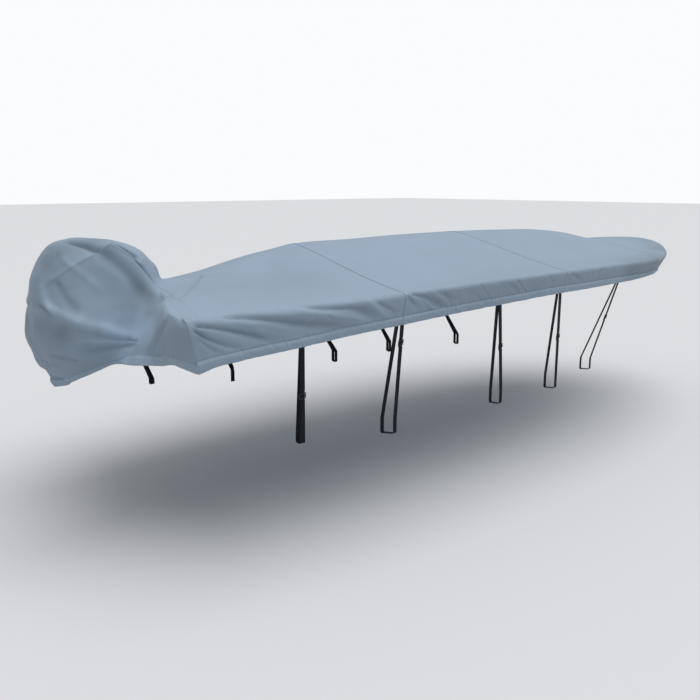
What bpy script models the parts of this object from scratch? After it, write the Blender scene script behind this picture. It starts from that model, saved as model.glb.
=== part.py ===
"""Fitted cloth cover, tented over a ridge, with a tall hood at its stern.

Eight cloth panels are sewn edge to edge: three deck panels with their side skirts, a bow
panel, and a hood of two sides, a cap and a gusset. Ten webbing tie-downs with sliders
run from the hem. +X is towards the bow, +Y to port, +Z up, in metres.
Heights in the tables are above the sheer plane, the level of the fold between deck and
skirt. Stations are measured forward from the foot of the hood.
"""

import math
from collections import namedtuple
from functools import partial

import bmesh
import bpy
from mathutils import Matrix, Vector

# Driving sizes of the cover
BOW_TIP = 4.69  # station of the foremost point of the edge fold
SEAM_AFT = 1.06  # cross seam between the stern and middle panels
SEAM_MIDDLE = 2.355  # cross seam between the middle and fore panels
SEAM_FORE = 3.85  # cross seam between the fore and bow panels
SEAM_BOW = 0.07  # how far the first two cross seams run forward at the ridge
CLOTH = 0.002  # thickness of a cloth panel
SEAM_GAP = 0.0002  # half the gap between two panels that meet flat
EDGE_GAP = 0.0016  # the same where they meet at an edge, as their inner faces come closer
RIDGE_ROUNDING = 0.12  # how flat the ridge is, as a share of the half breadth
CROWN_SAG = 1.15  # above 1 the cloth hangs hollow between ridge and edge fold
BOW_FULLNESS = 1.1  # 1 is a parabola in plan, more is blunter
SPINE_REACH = 0.80  # how far the bow panel's spine runs towards the tip
SKIRT_CURVE = 1.15  # 1 is a flat skirt, more hangs plumb first and then turns in
SUPPORT = Vector((1.80, 0.0, 0.1935))  # under the ridge, where the cover is held up

# Driving sizes of the dart seam, which ends the stern panel against the hood
DART_TIP = 0.54  # station on the centreline
DART_VERTEX = 0.15  # station where it meets the hood's crown seam
DART_SHARE = 0.60  # that point's share of the half breadth
CORNER_LANE = 1.33  # the lane where the seam turns down the stern corner
HEM_CORNER = 0.045  # station of the hem's stern corner, as the stern end is raked

# Webbing tie-downs
WEBBING_WIDTH = 0.025
WEBBING_THICKNESS = 0.0016
WEBBING_BEND = 0.010  # radius of its turns round the bar that it holds
SEWN_LENGTH = 0.040  # webbing sewn on behind the hem
STRAIGHT_BELOW = 0.004  # how far it runs on below the hem before it turns
BAR_CLEARANCE = 0.0023  # from the bar that the foot goes round
SLIDER_LENGTH = 0.032
SLIDER_WIDTH = 0.034
SLIDER_THICKNESS = 0.003
SLIDER_BAR = 0.005
SLIDER_CHAMFERS = (0.003, 0.001)  # of the plate's corners, and of its slots'
SLOT_CLEARANCE = 0.0008  # either side of the webbing in a slot
# Where the webbing passes the slider: along it, 1 at an end bar's middle, and its side
SLIDER_WEAVE = (
    (-2.0, 0), (-1.35, -1), (-0.62, -1), (-0.25, 1), (0.25, 1), (0.62, -1), (1.35, -1), (2.0, 0),
)
TOUCH = 0.0003  # clearance between pieces that touch
SEWN_CLEARANCE = 0.0008  # of webbing behind the hem, whose facets aren't quite round

# One row for each station: plan half breadth, height of the fold, height of the ridge,
# depth of the skirt, how far its hem is drawn in, radius of the fold, and how much lower
# the port edge hangs
Station = namedtuple("Station", "x half_breadth sheer ridge drop tuck fold port")
STATIONS = (
    Station(0.00, 0.806, -0.023, 0.035, 0.215, 0.015, 0.050, 0.045),
    Station(0.25, 0.858, -0.016, 0.045, 0.195, 0.025, 0.050, 0.066),
    Station(0.54, 0.908, -0.009, 0.062, 0.175, 0.030, 0.045, 0.088),
    Station(0.80, 0.935, -0.003, 0.130, 0.158, 0.030, 0.035, 0.098),
    Station(1.06, 0.942, 0.001, 0.175, 0.152, 0.030, 0.025, 0.084),
    Station(1.50, 0.942, 0.008, 0.188, 0.143, 0.030, 0.022, 0.046),
    Station(2.00, 0.942, 0.012, 0.197, 0.136, 0.030, 0.022, 0.014),
    Station(2.36, 0.938, 0.012, 0.198, 0.128, 0.030, 0.022, 0.000),
    Station(2.80, 0.924, 0.012, 0.192, 0.128, 0.035, 0.022, 0.000),
    Station(3.20, 0.888, 0.007, 0.176, 0.127, 0.045, 0.025, 0.000),
    Station(3.55, 0.812, -0.001, 0.146, 0.128, 0.060, 0.028, 0.000),
    Station(3.85, 0.720, -0.003, 0.095, 0.142, 0.075, 0.030, 0.000),
    Station(4.10, 0.613, 0.007, 0.062, 0.165, 0.085, 0.032, 0.000),
    Station(4.40, 0.440, 0.028, 0.055, 0.175, 0.090, 0.034, 0.000),
    Station(4.69, 0.000, 0.055, 0.055, 0.180, 0.090, 0.034, 0.000),
)

# One row for each rib of the hood's side, from the back seam round to the gusset's
# corner: five places down the cloth, each as (station, breadth, height)
Rib = namedtuple("Rib", "top shoulder belly waist hem")
RIBS = (
    Rib((-0.312, 0.000, 0.010), (-0.320, 0.000, -0.100), (-0.318, 0.000, -0.200),
        (-0.276, 0.000, -0.310), (-0.238, 0.000, -0.400)),
    Rib((-0.284, 0.105, 0.070), (-0.298, 0.112, -0.080), (-0.303, 0.125, -0.190),
        (-0.260, 0.115, -0.300), (-0.220, 0.088, -0.380)),
    Rib((-0.200, 0.182, 0.145), (-0.222, 0.200, -0.010), (-0.230, 0.218, -0.150),
        (-0.203, 0.190, -0.270), (-0.170, 0.125, -0.362)),
    Rib((-0.116, 0.210, 0.195), (-0.117, 0.236, 0.030), (-0.120, 0.252, -0.130),
        (-0.105, 0.212, -0.250), (-0.090, 0.140, -0.330)),
    Rib((-0.030, 0.215, 0.232), (-0.015, 0.245, 0.060), (-0.010, 0.262, -0.100),
        (-0.015, 0.235, -0.230), (-0.020, 0.165, -0.307)),
    Rib((0.096, 0.200, 0.160), (0.075, 0.245, 0.040), (0.045, 0.275, -0.080),
        (0.015, 0.275, -0.200), (0.000, 0.250, -0.292)),
    Rib((0.139, 0.200, 0.105), (0.120, 0.265, 0.010), (0.065, 0.320, -0.090),
        (0.020, 0.345, -0.190), (0.010, 0.370, -0.273)),
    Rib((0.175, 0.220, 0.043), (0.145, 0.320, -0.010), (0.070, 0.420, -0.080),
        (0.020, 0.475, -0.170), (0.015, 0.510, -0.250)),
    Rib((0.188, 0.300, 0.020), (0.130, 0.460, -0.006), (0.010, 0.600, -0.026),
        (-0.012, 0.625, -0.130), (0.014, 0.640, -0.230)),
    Rib((0.160, 0.395, 0.012), (0.070, 0.570, -0.008), (-0.008, 0.712, -0.026),
        (-0.016, 0.722, -0.130), (0.016, 0.722, -0.233)),
)
PEAK = 4  # the rib whose top is the hood's highest corner
CORNER = len(RIBS)  # the last rib is the seam over the stern corner to the hem
# Crest of the hood on the centreline: cap from the back point to the peak, then gusset
Crest = namedtuple("Crest", "x height roundness")
CREST = (
    Crest(-0.312, 0.010, 2.0),
    Crest(-0.290, 0.122, 2.2),
    Crest(-0.205, 0.232, 2.2),
    Crest(-0.085, 0.260, 2.2),
    Crest(0.035, 0.251, 2.2),
    Crest(0.170, 0.205, 2.4),
    Crest(0.235, 0.145, 2.2),
    Crest(0.285, 0.070, 1.8),
    Crest(0.345, 0.048, 1.6),
    Crest(0.430, 0.050, 1.4),
    Crest(0.540, 0.062, 1.2),
)

# One row for each main fold of the sides, from (station, height) to (station, height).
# A positive depth is a trough, a negative one a ridge. The port side's are shallower.
Fold = namedtuple("Fold", "start end depth width")
PORT_SHARE = 0.7
FOLD_FADE = 0.6  # share of its depth that a fold loses towards its lower end
SKIRT_FOLDS = (
    Fold((0.03, -0.065), (0.42, -0.138), 0.016, 0.020),
    Fold((0.03, -0.105), (0.27, -0.185), 0.014, 0.018),
    Fold((0.10, -0.058), (0.66, -0.080), 0.016, 0.020),
    Fold((0.55, -0.030), (0.86, -0.085), 0.014, 0.022),
    Fold((0.80, -0.020), (0.97, -0.110), -0.010, 0.022),
)
HOOD_FOLDS = (
    Fold((-0.24, 0.235), (0.09, -0.030), 0.022, 0.035),
    Fold((-0.34, 0.040), (-0.13, -0.110), -0.014, 0.022),
    Fold((-0.38, -0.110), (0.00, -0.175), 0.022, 0.024),
    Fold((-0.22, -0.235), (0.00, -0.195), 0.018, 0.020),
    Fold((-0.20, 0.130), (-0.13, 0.000), 0.008, 0.025),
)

# One row for each tie-down of a side: where it leaves the hem, how far apart its strands
# are there, the bar that its foot goes round (station, breadth of its outer face, top,
# height, thickness), and how far down the slider sits
TieDown = namedtuple("TieDown", "hem spread foot breadth top height thickness slider")
TIE_DOWNS = (
    TieDown(0.505, 0.003, 0.600, 0.740, -0.640, 0.030, 0.026, 0.250),
    TieDown(1.052, 0.034, 1.165, 0.750, -0.667, 0.075, 0.052, 0.095),
    TieDown(1.785, 0.020, 2.020, 0.750, -0.667, 0.075, 0.052, 0.280),
    TieDown(2.330, 0.028, 2.555, 0.750, -0.667, 0.075, 0.052, 0.310),
    TieDown(3.013, 0.028, 3.160, 0.610, -0.667, 0.075, 0.052, 0.270),
)

# Steps of the meshes
DECK_LANES = (0.0, 0.15, 0.30, 0.45, 0.60, 0.75, 0.90, 1.0)
FOLD_LANES = (1.33, 1.67, 2.0)
SKIRT_LANES = (2.20, 2.40, 2.60, 2.80, 3.0)
CORNER_LANES = DECK_LANES[4:] + FOLD_LANES + SKIRT_LANES  # along the seam over the corner
HOOD_STEPS = 2 * (len(CORNER_LANES) - 1)  # down a rib
RIB_STEPS = 3  # between two ribs
ACROSS_STEPS = 4  # from crest to seam, a side, as many as the dart seam's lanes

CLOTH_COLOUR = (0.235, 0.315, 0.395, 1.0)
WEBBING_COLOUR = (0.012, 0.015, 0.022, 1.0)
PLASTIC_COLOUR = (0.010, 0.010, 0.012, 1.0)


# ---------------------------------------------------------------- curves and tables
def between(rows, key, column, at):
    """A column of a table, on a smooth curve through its rows."""
    keys = [getattr(row, key) for row in rows]
    values = [getattr(row, column) for row in rows]
    at = min(max(at, keys[0]), keys[-1])
    last = max(i for i in range(len(keys) - 1) if keys[i] <= at)
    slopes = [
        (values[i + 1] - values[i]) / (keys[i + 1] - keys[i]) for i in range(len(keys) - 1)
    ]

    def slope(i):
        if i in (0, len(keys) - 1):
            return slopes[min(i, len(slopes) - 1)]
        if slopes[i - 1] * slopes[i] <= 0:
            return 0.0
        return 2 * slopes[i - 1] * slopes[i] / (slopes[i - 1] + slopes[i])

    step = keys[last + 1] - keys[last]
    t = (at - keys[last]) / step
    return (
        values[last] * (1 + 2 * t) * (1 - t) ** 2
        + slope(last) * step * t * (1 - t) ** 2
        + values[last + 1] * t * t * (3 - 2 * t)
        - slope(last + 1) * step * t * t * (1 - t)
    )


def through(points, at):
    """A point on the Catmull-Rom curve through the points, whose parameter counts them."""
    i = min(max(int(at), 0), len(points) - 2)
    t = at - i
    first, second = points[i], points[i + 1]
    before = points[i - 1] if i > 0 else first * 2 - second
    after = points[i + 2] if i + 2 < len(points) else second * 2 - first
    return 0.5 * (
        2 * first
        + (second - before) * t
        + (2 * before - 5 * first + 4 * second - after) * t * t
        + (3 * first - before - 3 * second + after) * t**3
    )


def station(x, column):
    return between(STATIONS, "x", column, x)


def steps(first, last, count):
    return [first + (last - first) * i / count for i in range(count + 1)]


# ---------------------------------------------------------------- the deck and its skirts
def half_breadth(x):
    """In plan: from the table as far as the last cross seam, then the round of the bow."""
    if x <= SEAM_FORE:
        return station(x, "half_breadth")
    share = min((x - SEAM_FORE) / (BOW_TIP - SEAM_FORE), 1.0)
    return station(SEAM_FORE, "half_breadth") * math.sqrt(1 - share**BOW_FULLNESS)


def crown(share):
    """Height of the tent, 0 at the edge fold and 1 at the ridge, at a share of the breadth."""
    rounded = math.hypot(share, RIDGE_ROUNDING) - RIDGE_ROUNDING
    full = math.hypot(1, RIDGE_ROUNDING) - RIDGE_ROUNDING
    return max(1 - rounded / full, 0.0) ** CROWN_SAG


def section_point(spine, rim, x, lane):
    """A point of the cross-section from a spine point to a rim point, both in plan.

    Lanes 0 to 1 run from the spine to the fold, 1 to 2 round it, 2 to 3 down the skirt.
    """
    reach = (rim - spine).length
    outward = (rim - spine) / reach
    sheer, fold = station(x, "sheer"), station(x, "fold")
    rise = station(spine.x, "ridge") - sheer
    edge = sheer + rise * crown((reach - fold) / reach)
    if lane <= 1:
        out = lane * (reach - fold)
        height = sheer + rise * crown(out / reach)
    elif lane <= 2:
        turn = (lane - 1) * math.pi / 2
        out = reach - fold + fold * math.sin(turn)
        height = edge - fold + fold * math.cos(turn)
    else:
        down = lane - 2
        out = reach - station(x, "tuck") * down**SKIRT_CURVE
        height = (edge - fold) * (1 - down) + (sheer - station(x, "drop")) * down
    flat = spine + outward * out
    return Vector((flat.x, flat.y, height))


def lowered(point, x):
    """The port side hangs a little lower, in proportion to the breadth."""
    share = max(point.y, 0.0) / max(half_breadth(x), 0.1)
    return point - Vector((0.0, 0.0, station(x, "port") * min(share, 1.0)))


def deck_point(x, lane, side):
    """A point of a straight cross-section; side is -1 to starboard, 1 to port."""
    spine = Vector((x, 0.0))
    return lowered(section_point(spine, Vector((x, side * half_breadth(x))), x, lane), x)


def bow_point(turn, lane):
    """A point of the bow panel: turn runs from starboard at the seam, -1, to port, 1."""
    breadth = station(SEAM_FORE, "half_breadth") * math.sin(turn * math.pi / 2)
    share = math.cos(turn * math.pi / 2) ** (2 / BOW_FULLNESS)
    x = SEAM_FORE + (BOW_TIP - SEAM_FORE) * share
    spine = Vector((SEAM_FORE + (x - SEAM_FORE) * SPINE_REACH, 0.0))
    return section_point(spine, Vector((x, breadth)), x, lane)


def seam_station(seam, lane):
    """A cross seam's station: it runs forward near the ridge."""
    return seam + SEAM_BOW * max(1 - lane, 0.0) ** 2


def dart_station(lane):
    """Where the stern panel ends, aft: the dart seam, then over the corner to the hem."""
    if lane <= DART_SHARE:
        return DART_TIP + (DART_VERTEX - DART_TIP) * lane / DART_SHARE
    if lane <= CORNER_LANE:
        return DART_VERTEX * (CORNER_LANE - lane) / (CORNER_LANE - DART_SHARE)
    return HEM_CORNER * max(lane - 2, 0.0)


# ---------------------------------------------------------------- the hood
def rib_point(rib, down, side):
    """A point of a rib: down runs from 0 at its top to 1 at the hem."""
    if rib == CORNER:
        # The seam's chords, as the stern panel has them
        at = down * (len(CORNER_LANES) - 1)
        first = min(int(at), len(CORNER_LANES) - 2)
        lanes = CORNER_LANES[first : first + 2]
        ends = [deck_point(dart_station(lane), lane, side) for lane in lanes]
        return ends[0].lerp(ends[1], at - first)
    places = [Vector((p[0], side * p[1], p[2])) for p in RIBS[rib]]
    return lowered(through(places, down * (len(places) - 1)), 0.0)


def hood_point(rib, down, side):
    return through([rib_point(i, down, side) for i in range(CORNER + 1)], rib)


def crest_point(rib):
    """On the centreline, over the cap and down the gusset to the dart's tip."""
    row = through([Vector(crest) for crest in CREST], rib)
    return Vector((row[0], 0.0, row[1])), row[2]


def crossing_point(rib, across):
    """On the arc from the crest, 0, to the hood's side seam, -1 or 1."""
    crest, roundness = crest_point(rib)
    seam = hood_point(rib, 0.0, math.copysign(1, across))
    share = abs(across)
    point = crest.lerp(seam, share**roundness)
    point.y = seam.y * share
    last = CORNER - 1
    if rib > last:
        # The last rows settle onto the dart seam.
        lane = DART_SHARE * share
        dart = deck_point(dart_station(lane), lane, math.copysign(1, across))
        point = point.lerp(dart, (rib - last) ** 2)
    return point


# ---------------------------------------------------------------- folds and meshes
def fold_depth(point, folds):
    """How far the main folds push a point of the sides in."""
    flat = Vector((point.x, point.z))
    depth = 0.0
    for fold in folds:
        start, run = Vector(fold.start), Vector(fold.end) - Vector(fold.start)
        along = min(max((flat - start).dot(run) / run.length_squared, 0.0), 1.0)
        away = (flat - start - run * along).length
        lower_end = along if fold.start[1] > fold.end[1] else 1 - along
        fade = 1 - FOLD_FADE * lower_end
        depth += fold.depth * fade * math.exp(-((away / fold.width) ** 2))
    return depth * (PORT_SHARE if point.y > 0 else 1.0)


def folded(rows, folds, pinned):
    """The rows with the folds pressed in along the cloth's own normals."""
    result = []
    for i, row in enumerate(rows):
        line = []
        for j, point in enumerate(row):
            along = rows[min(i + 1, len(rows) - 1)][j] - rows[max(i - 1, 0)][j]
            across = row[min(j + 1, len(row) - 1)] - row[max(j - 1, 0)]
            normal = along.cross(across)
            if normal.length < 1e-12 or abs(point.y) < 1e-6 or pinned(i, j):
                line.append(point.copy())
                continue
            normal.normalize()
            if normal.y * point.y < 0:
                normal = -normal
            line.append(point - normal * fold_depth(point, folds) * abs(normal.y))
        result.append(line)
    return result


def drawn_in(rows, first=0.0, last=0.0, left=0.0, right=0.0):
    """The rows with their edges pulled back, so that panels meet with a gap."""
    rows = [[point.copy() for point in row] for row in rows]
    for near, far, gap in ((0, 1, first), (-1, -2, last)):
        for point, inner in zip(rows[near], [p.copy() for p in rows[far]]):
            step = inner - point
            if gap and step.length > 1e-6:
                point += step.normalized() * gap
    for near, far, gap in ((0, 1, left), (-1, -2, right)):
        for row in rows:
            step = row[far] - row[near]
            if gap and step.length > 1e-6:
                row[near] += step.normalized() * gap
    return rows


def material(name, colour, roughness):
    made = bpy.data.materials.new(name)
    made.use_nodes = True
    shader = made.node_tree.nodes["Principled BSDF"]
    shader.inputs["Base Color"].default_value = colour
    shader.inputs["Roughness"].default_value = roughness
    shader.inputs["Metallic"].default_value = 0.0
    return made


def sheet(name, rows, thickness, finish, outward, collection):
    """A cloth or webbing sheet: a grid of points, with Solidify for its thickness."""
    mesh = bmesh.new()
    grid = [[mesh.verts.new(point - SUPPORT) for point in row] for row in rows]
    for upper, lower in zip(grid, grid[1:]):
        for i in range(len(upper) - 1):
            mesh.faces.new((upper[i], upper[i + 1], lower[i + 1], lower[i]))
    bmesh.ops.remove_doubles(mesh, verts=mesh.verts, dist=1e-5)
    bmesh.ops.recalc_face_normals(mesh, faces=mesh.faces)
    mesh.faces.ensure_lookup_table()
    middle = mesh.faces[len(mesh.faces) // 2]
    if middle.normal.dot(outward(middle.calc_center_median() + SUPPORT)) < 0:
        bmesh.ops.reverse_faces(mesh, faces=mesh.faces)
    data = bpy.data.meshes.new(name)
    mesh.to_mesh(data)
    mesh.free()
    data.shade_smooth()
    data.materials.append(finish)
    piece = bpy.data.objects.new(name, data)
    collection.objects.link(piece)
    solid = piece.modifiers.new("thickness", "SOLIDIFY")
    solid.thickness = thickness
    solid.offset = 0.0
    return piece


# ---------------------------------------------------------------- the cloth panels
def from_inside(point):
    """Away from the middle of the space under the cover."""
    return point - Vector((min(max(point.x, 0.0), SEAM_FORE), 0.0, -0.20))


def half_lanes():
    return DECK_LANES + FOLD_LANES + SKIRT_LANES


def across_lanes():
    """Lanes of a whole cross-section from the starboard hem to the port hem."""
    half = half_lanes()
    return [(-1, lane) for lane in reversed(half)] + [(1, lane) for lane in half[1:]]


def deck_panel(name, aft, fore, count, gaps, finish, collection):
    """Panel between two edges, each given as a function from lane to station."""
    rows = []
    for share in steps(0.0, 1.0, count):
        rows.append(
            [
                deck_point(aft(lane) * (1 - share) + fore(lane) * share, lane, side)
                for side, lane in across_lanes()
            ]
        )
    rows = folded(rows, SKIRT_FOLDS, lambda i, j: i in (0, count))
    rows = drawn_in(rows, first=gaps[0], last=gaps[1])
    return sheet(name, rows, CLOTH, finish, from_inside, collection)


def bow_panel(name, count, finish, collection):
    rows = [[bow_point(turn, lane) for lane in half_lanes()] for turn in steps(-1, 1, count)]
    rows = drawn_in(rows, first=SEAM_GAP, last=SEAM_GAP)
    return sheet(name, rows, CLOTH, finish, from_inside, collection)


def hood_side(name, side, finish, collection):
    ribs = steps(0, CORNER, CORNER * RIB_STEPS)
    rows = [[hood_point(rib, down, side) for down in steps(0, 1, HOOD_STEPS)] for rib in ribs]
    last_rib, last_step = len(ribs) - 1, HOOD_STEPS
    rows = folded(rows, HOOD_FOLDS, lambda i, j: i in (0, last_rib) or j in (0, last_step))
    rows = drawn_in(rows, first=EDGE_GAP / 2, last=EDGE_GAP, left=EDGE_GAP)
    return sheet(name, rows, CLOTH, finish, from_inside, collection)


def hood_crossing(name, first, last, gaps, finish, collection):
    """The cap, or the gusset: rows from seam to seam over the crest."""
    count = (last - first) * RIB_STEPS
    rows = [
        [crossing_point(rib, across) for across in steps(-1, 1, 2 * ACROSS_STEPS)]
        for rib in steps(first, last, count)
    ]
    rows = drawn_in(rows, left=EDGE_GAP, right=EDGE_GAP)
    rows = drawn_in(rows, first=gaps[0], last=gaps[1])
    return sheet(name, rows, CLOTH, finish, from_inside, collection)


# ---------------------------------------------------------------- tie-downs
def rounded_corner(before, corner, after, radius):
    """Points of the round between two straight runs."""
    towards, away = (before - corner).normalized(), (after - corner).normalized()
    start, end = corner + towards * radius, corner + away * radius
    return [start, (start + end + corner * 2) / 4, end]


def hem_frame(row, side):
    """Where a tie-down leaves the hem: the place, and the ways up, along the hem and in."""
    hem = deck_point(row.hem, 3.0, side)
    up = (deck_point(row.hem, 2.6, side) - hem).normalized()
    fore, aft = row.hem + WEBBING_WIDTH, row.hem - WEBBING_WIDTH
    along = deck_point(fore, 3.0, side) - deck_point(aft, 3.0, side)
    along = (along - up * along.dot(up)).normalized()
    inward = along.cross(up)
    if inward.y * side > 0:
        inward = -inward
    return hem, up, along, inward


def tie_down_route(row, side):
    """The webbing from behind the hem, down, round the bar and back up to the hem."""
    hem, up, along, inward = hem_frame(row, side)
    behind = inward * (CLOTH / 2 + SEWN_CLEARANCE + WEBBING_THICKNESS / 2)
    further = inward * (WEBBING_THICKNESS + SEWN_CLEARANCE)
    beside = along * row.spread / 2
    clear = BAR_CLEARANCE + WEBBING_THICKNESS / 2
    outer = side * (row.breadth + clear)
    inner = side * (row.breadth - row.thickness - clear)
    low = row.top - row.height - clear
    corners = (
        Vector((row.foot, outer, row.top)) + beside,
        Vector((row.foot, outer, low)) + beside,
        Vector((row.foot, inner, low)) - beside,
        Vector((row.foot, inner, row.top)) - beside,
    )
    start, finish = hem + behind + beside, hem + behind + further - beside
    head = [start + up * SEWN_LENGTH, start - up * STRAIGHT_BELOW]
    return head, corners, [finish - up * STRAIGHT_BELOW, finish + up * SEWN_LENGTH]


def slider_frame(row, side):
    """Centre of the slider on the outboard strand, and its own axes: along, across, out."""
    head, corners, _ = tie_down_route(row, side)
    along = (corners[0] - head[-1]).normalized()
    hem_line = hem_frame(row, side)[2]
    across = (hem_line - along * along.dot(hem_line)).normalized()
    out = across.cross(along)
    if out.y * side < 0:
        out = -out
    return head[-1] + along * row.slider, along, across, out


def slider_weave(row, side):
    """The webbing's places through the slider: behind its end bars, over its middle one."""
    centre, along, _, out = slider_frame(row, side)
    pitch = (SLIDER_LENGTH - SLIDER_BAR) / 2
    offset = SLIDER_THICKNESS / 2 + WEBBING_THICKNESS / 2 + TOUCH
    for at, level in SLIDER_WEAVE:
        yield centre + along * at * pitch + out * level * offset


def tie_down(name, row, side, finish, collection):
    head, corners, tail = tie_down_route(row, side)
    across = slider_frame(row, side)[2]
    hem_line = hem_frame(row, side)[2]
    woven = list(slider_weave(row, side))
    route = head + woven
    ends = [woven[-1], *corners, tail[0]]
    for before, corner, after in zip(ends, corners, ends[2:]):
        route += rounded_corner(before, corner, after, WEBBING_BEND)
    route += tail
    rows = []
    for i, point in enumerate(route):
        run = (route[min(i + 1, len(route) - 1)] - route[max(i - 1, 0)]).normalized()
        width = (hem_line - run * run.dot(hem_line)).normalized()
        if len(head) <= i < len(head) + len(woven):
            width = across
        half = width * WEBBING_WIDTH / 2
        rows.append([point - half, point + half])
    middle = (corners[0] + corners[3]) / 2
    return sheet(name, rows, WEBBING_THICKNESS, finish, lambda p: p - middle, collection)


def slider(name, row, side, finish, collection):
    """A flat three-bar slider: a rounded plate with two slots."""
    outline = bpy.data.curves.new(name, "CURVE")
    outline.dimensions = "2D"
    outline.fill_mode = "BOTH"
    outline.extrude = SLIDER_THICKNESS / 2
    slot = (SLIDER_LENGTH - 3 * SLIDER_BAR) / 2
    middle = (slot + SLIDER_BAR) / 2
    inside = WEBBING_WIDTH / 2 + SLOT_CLEARANCE
    plate, opening = SLIDER_CHAMFERS
    for half_wide, low, high, chamfer in (
        (SLIDER_WIDTH / 2, -SLIDER_LENGTH / 2, SLIDER_LENGTH / 2, plate),
        (inside, middle - slot / 2, middle + slot / 2, opening),
        (inside, -middle - slot / 2, -middle + slot / 2, opening),
    ):
        ring = outline.splines.new("POLY")
        corners = [
            (half_wide, low, 0, 1), (half_wide, high, -1, 0),
            (-half_wide, high, 0, -1), (-half_wide, low, 1, 0),
        ]
        points = []
        for i, (x, y, dx, dy) in enumerate(corners):
            px, py = corners[i - 1][2:]
            points.append((x - px * chamfer, y - py * chamfer))
            points.append((x + dx * chamfer, y + dy * chamfer))
        ring.points.add(len(points) - 1)
        for point, (x, y) in zip(ring.points, points):
            point.co = (x, y, 0.0, 1.0)
        ring.use_cyclic_u = True
    outline.materials.append(finish)
    piece = bpy.data.objects.new(name, outline)
    collection.objects.link(piece)
    centre, along, across, out = slider_frame(row, side)
    piece.matrix_world = placed(centre - SUPPORT, across, -along, out)
    return piece


def placed(origin, x_axis, y_axis, z_axis):
    """The turn that lays these axes, and the shift to the origin."""
    if x_axis.cross(y_axis).dot(z_axis) < 0:
        x_axis = -x_axis
    turned = Matrix((x_axis, y_axis, z_axis)).transposed().to_4x4()
    return Matrix.Translation(origin) @ turned


# ---------------------------------------------------------------- the whole cover
def build():
    for thing in list(bpy.data.objects):
        bpy.data.objects.remove(thing)
    cover = bpy.data.collections.new("boat_cover")
    bpy.context.scene.collection.children.link(cover)
    cloth = material("cover_cloth", CLOTH_COLOUR, 0.85)
    webbing = material("webbing", WEBBING_COLOUR, 0.7)
    plastic = material("slider_plastic", PLASTIC_COLOUR, 0.45)

    flat = (SEAM_GAP, SEAM_GAP)
    aft_seam = partial(seam_station, SEAM_AFT)
    middle_seam = partial(seam_station, SEAM_MIDDLE)
    stern_gaps = (EDGE_GAP, SEAM_GAP)
    deck_panel("stern_panel", dart_station, aft_seam, 18, stern_gaps, cloth, cover)
    deck_panel("middle_panel", aft_seam, middle_seam, 9, flat, cloth, cover)
    deck_panel("fore_panel", middle_seam, lambda _: SEAM_FORE, 10, flat, cloth, cover)
    bow_panel("bow_panel", 24, cloth, cover)
    hood_crossing("hood_cap", 0, PEAK, (EDGE_GAP / 2, EDGE_GAP / 2), cloth, cover)
    hood_crossing("neck_gusset", PEAK, CORNER, (EDGE_GAP / 2, EDGE_GAP / 2), cloth, cover)
    for side, label in ((-1, "starboard"), (1, "port")):
        hood_side(f"hood_side_{label}", side, cloth, cover)
        for number, row in enumerate(TIE_DOWNS, 1):
            tie_down(f"tie_down_{label}_{number}", row, side, webbing, cover)
            slider(f"slider_{label}_{number}", row, side, plastic, cover)


build()
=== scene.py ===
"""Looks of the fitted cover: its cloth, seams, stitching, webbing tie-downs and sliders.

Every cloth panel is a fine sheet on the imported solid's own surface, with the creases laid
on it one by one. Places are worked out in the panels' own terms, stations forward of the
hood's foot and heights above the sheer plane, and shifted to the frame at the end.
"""

import math
from collections import namedtuple

import bmesh
import bpy
import numpy as np
from mathutils import Matrix, Vector


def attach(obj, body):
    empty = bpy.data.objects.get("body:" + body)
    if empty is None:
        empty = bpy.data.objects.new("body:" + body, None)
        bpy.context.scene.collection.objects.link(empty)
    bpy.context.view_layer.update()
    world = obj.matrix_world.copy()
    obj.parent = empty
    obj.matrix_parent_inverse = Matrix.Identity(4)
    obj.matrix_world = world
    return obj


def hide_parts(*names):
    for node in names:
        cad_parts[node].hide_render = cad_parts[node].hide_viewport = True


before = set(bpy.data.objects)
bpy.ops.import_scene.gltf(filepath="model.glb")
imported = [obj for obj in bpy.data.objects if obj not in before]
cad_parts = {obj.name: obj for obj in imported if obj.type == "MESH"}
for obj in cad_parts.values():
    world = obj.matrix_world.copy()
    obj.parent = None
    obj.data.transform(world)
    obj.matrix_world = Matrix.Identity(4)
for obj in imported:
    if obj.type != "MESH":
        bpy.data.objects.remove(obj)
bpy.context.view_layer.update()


def metres(table):
    """A table in millimetres as an array in metres."""
    return np.array(table) / 1000


def put(thing, **settings):
    for name, value in settings.items():
        setattr(thing, name, value)


# The cover's driving sizes, as the solids have them
BOW_TIP = 4.69
SEAM_AFT = 1.06
SEAM_MIDDLE = 2.355
SEAM_FORE = 3.85
SEAM_BOW = 0.07
RIDGE_ROUNDING = 0.12
CROWN_SAG = 1.15
BOW_FULLNESS = 1.1
SPINE_REACH = 0.80
SKIRT_CURVE = 1.15
SUPPORT = np.array((1.80, 0.0, 0.1935))
DART_TIP = 0.54
DART_VERTEX = 0.15
DART_SHARE = 0.60
CORNER_LANE = 1.33
HEM_CORNER = 0.045

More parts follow.
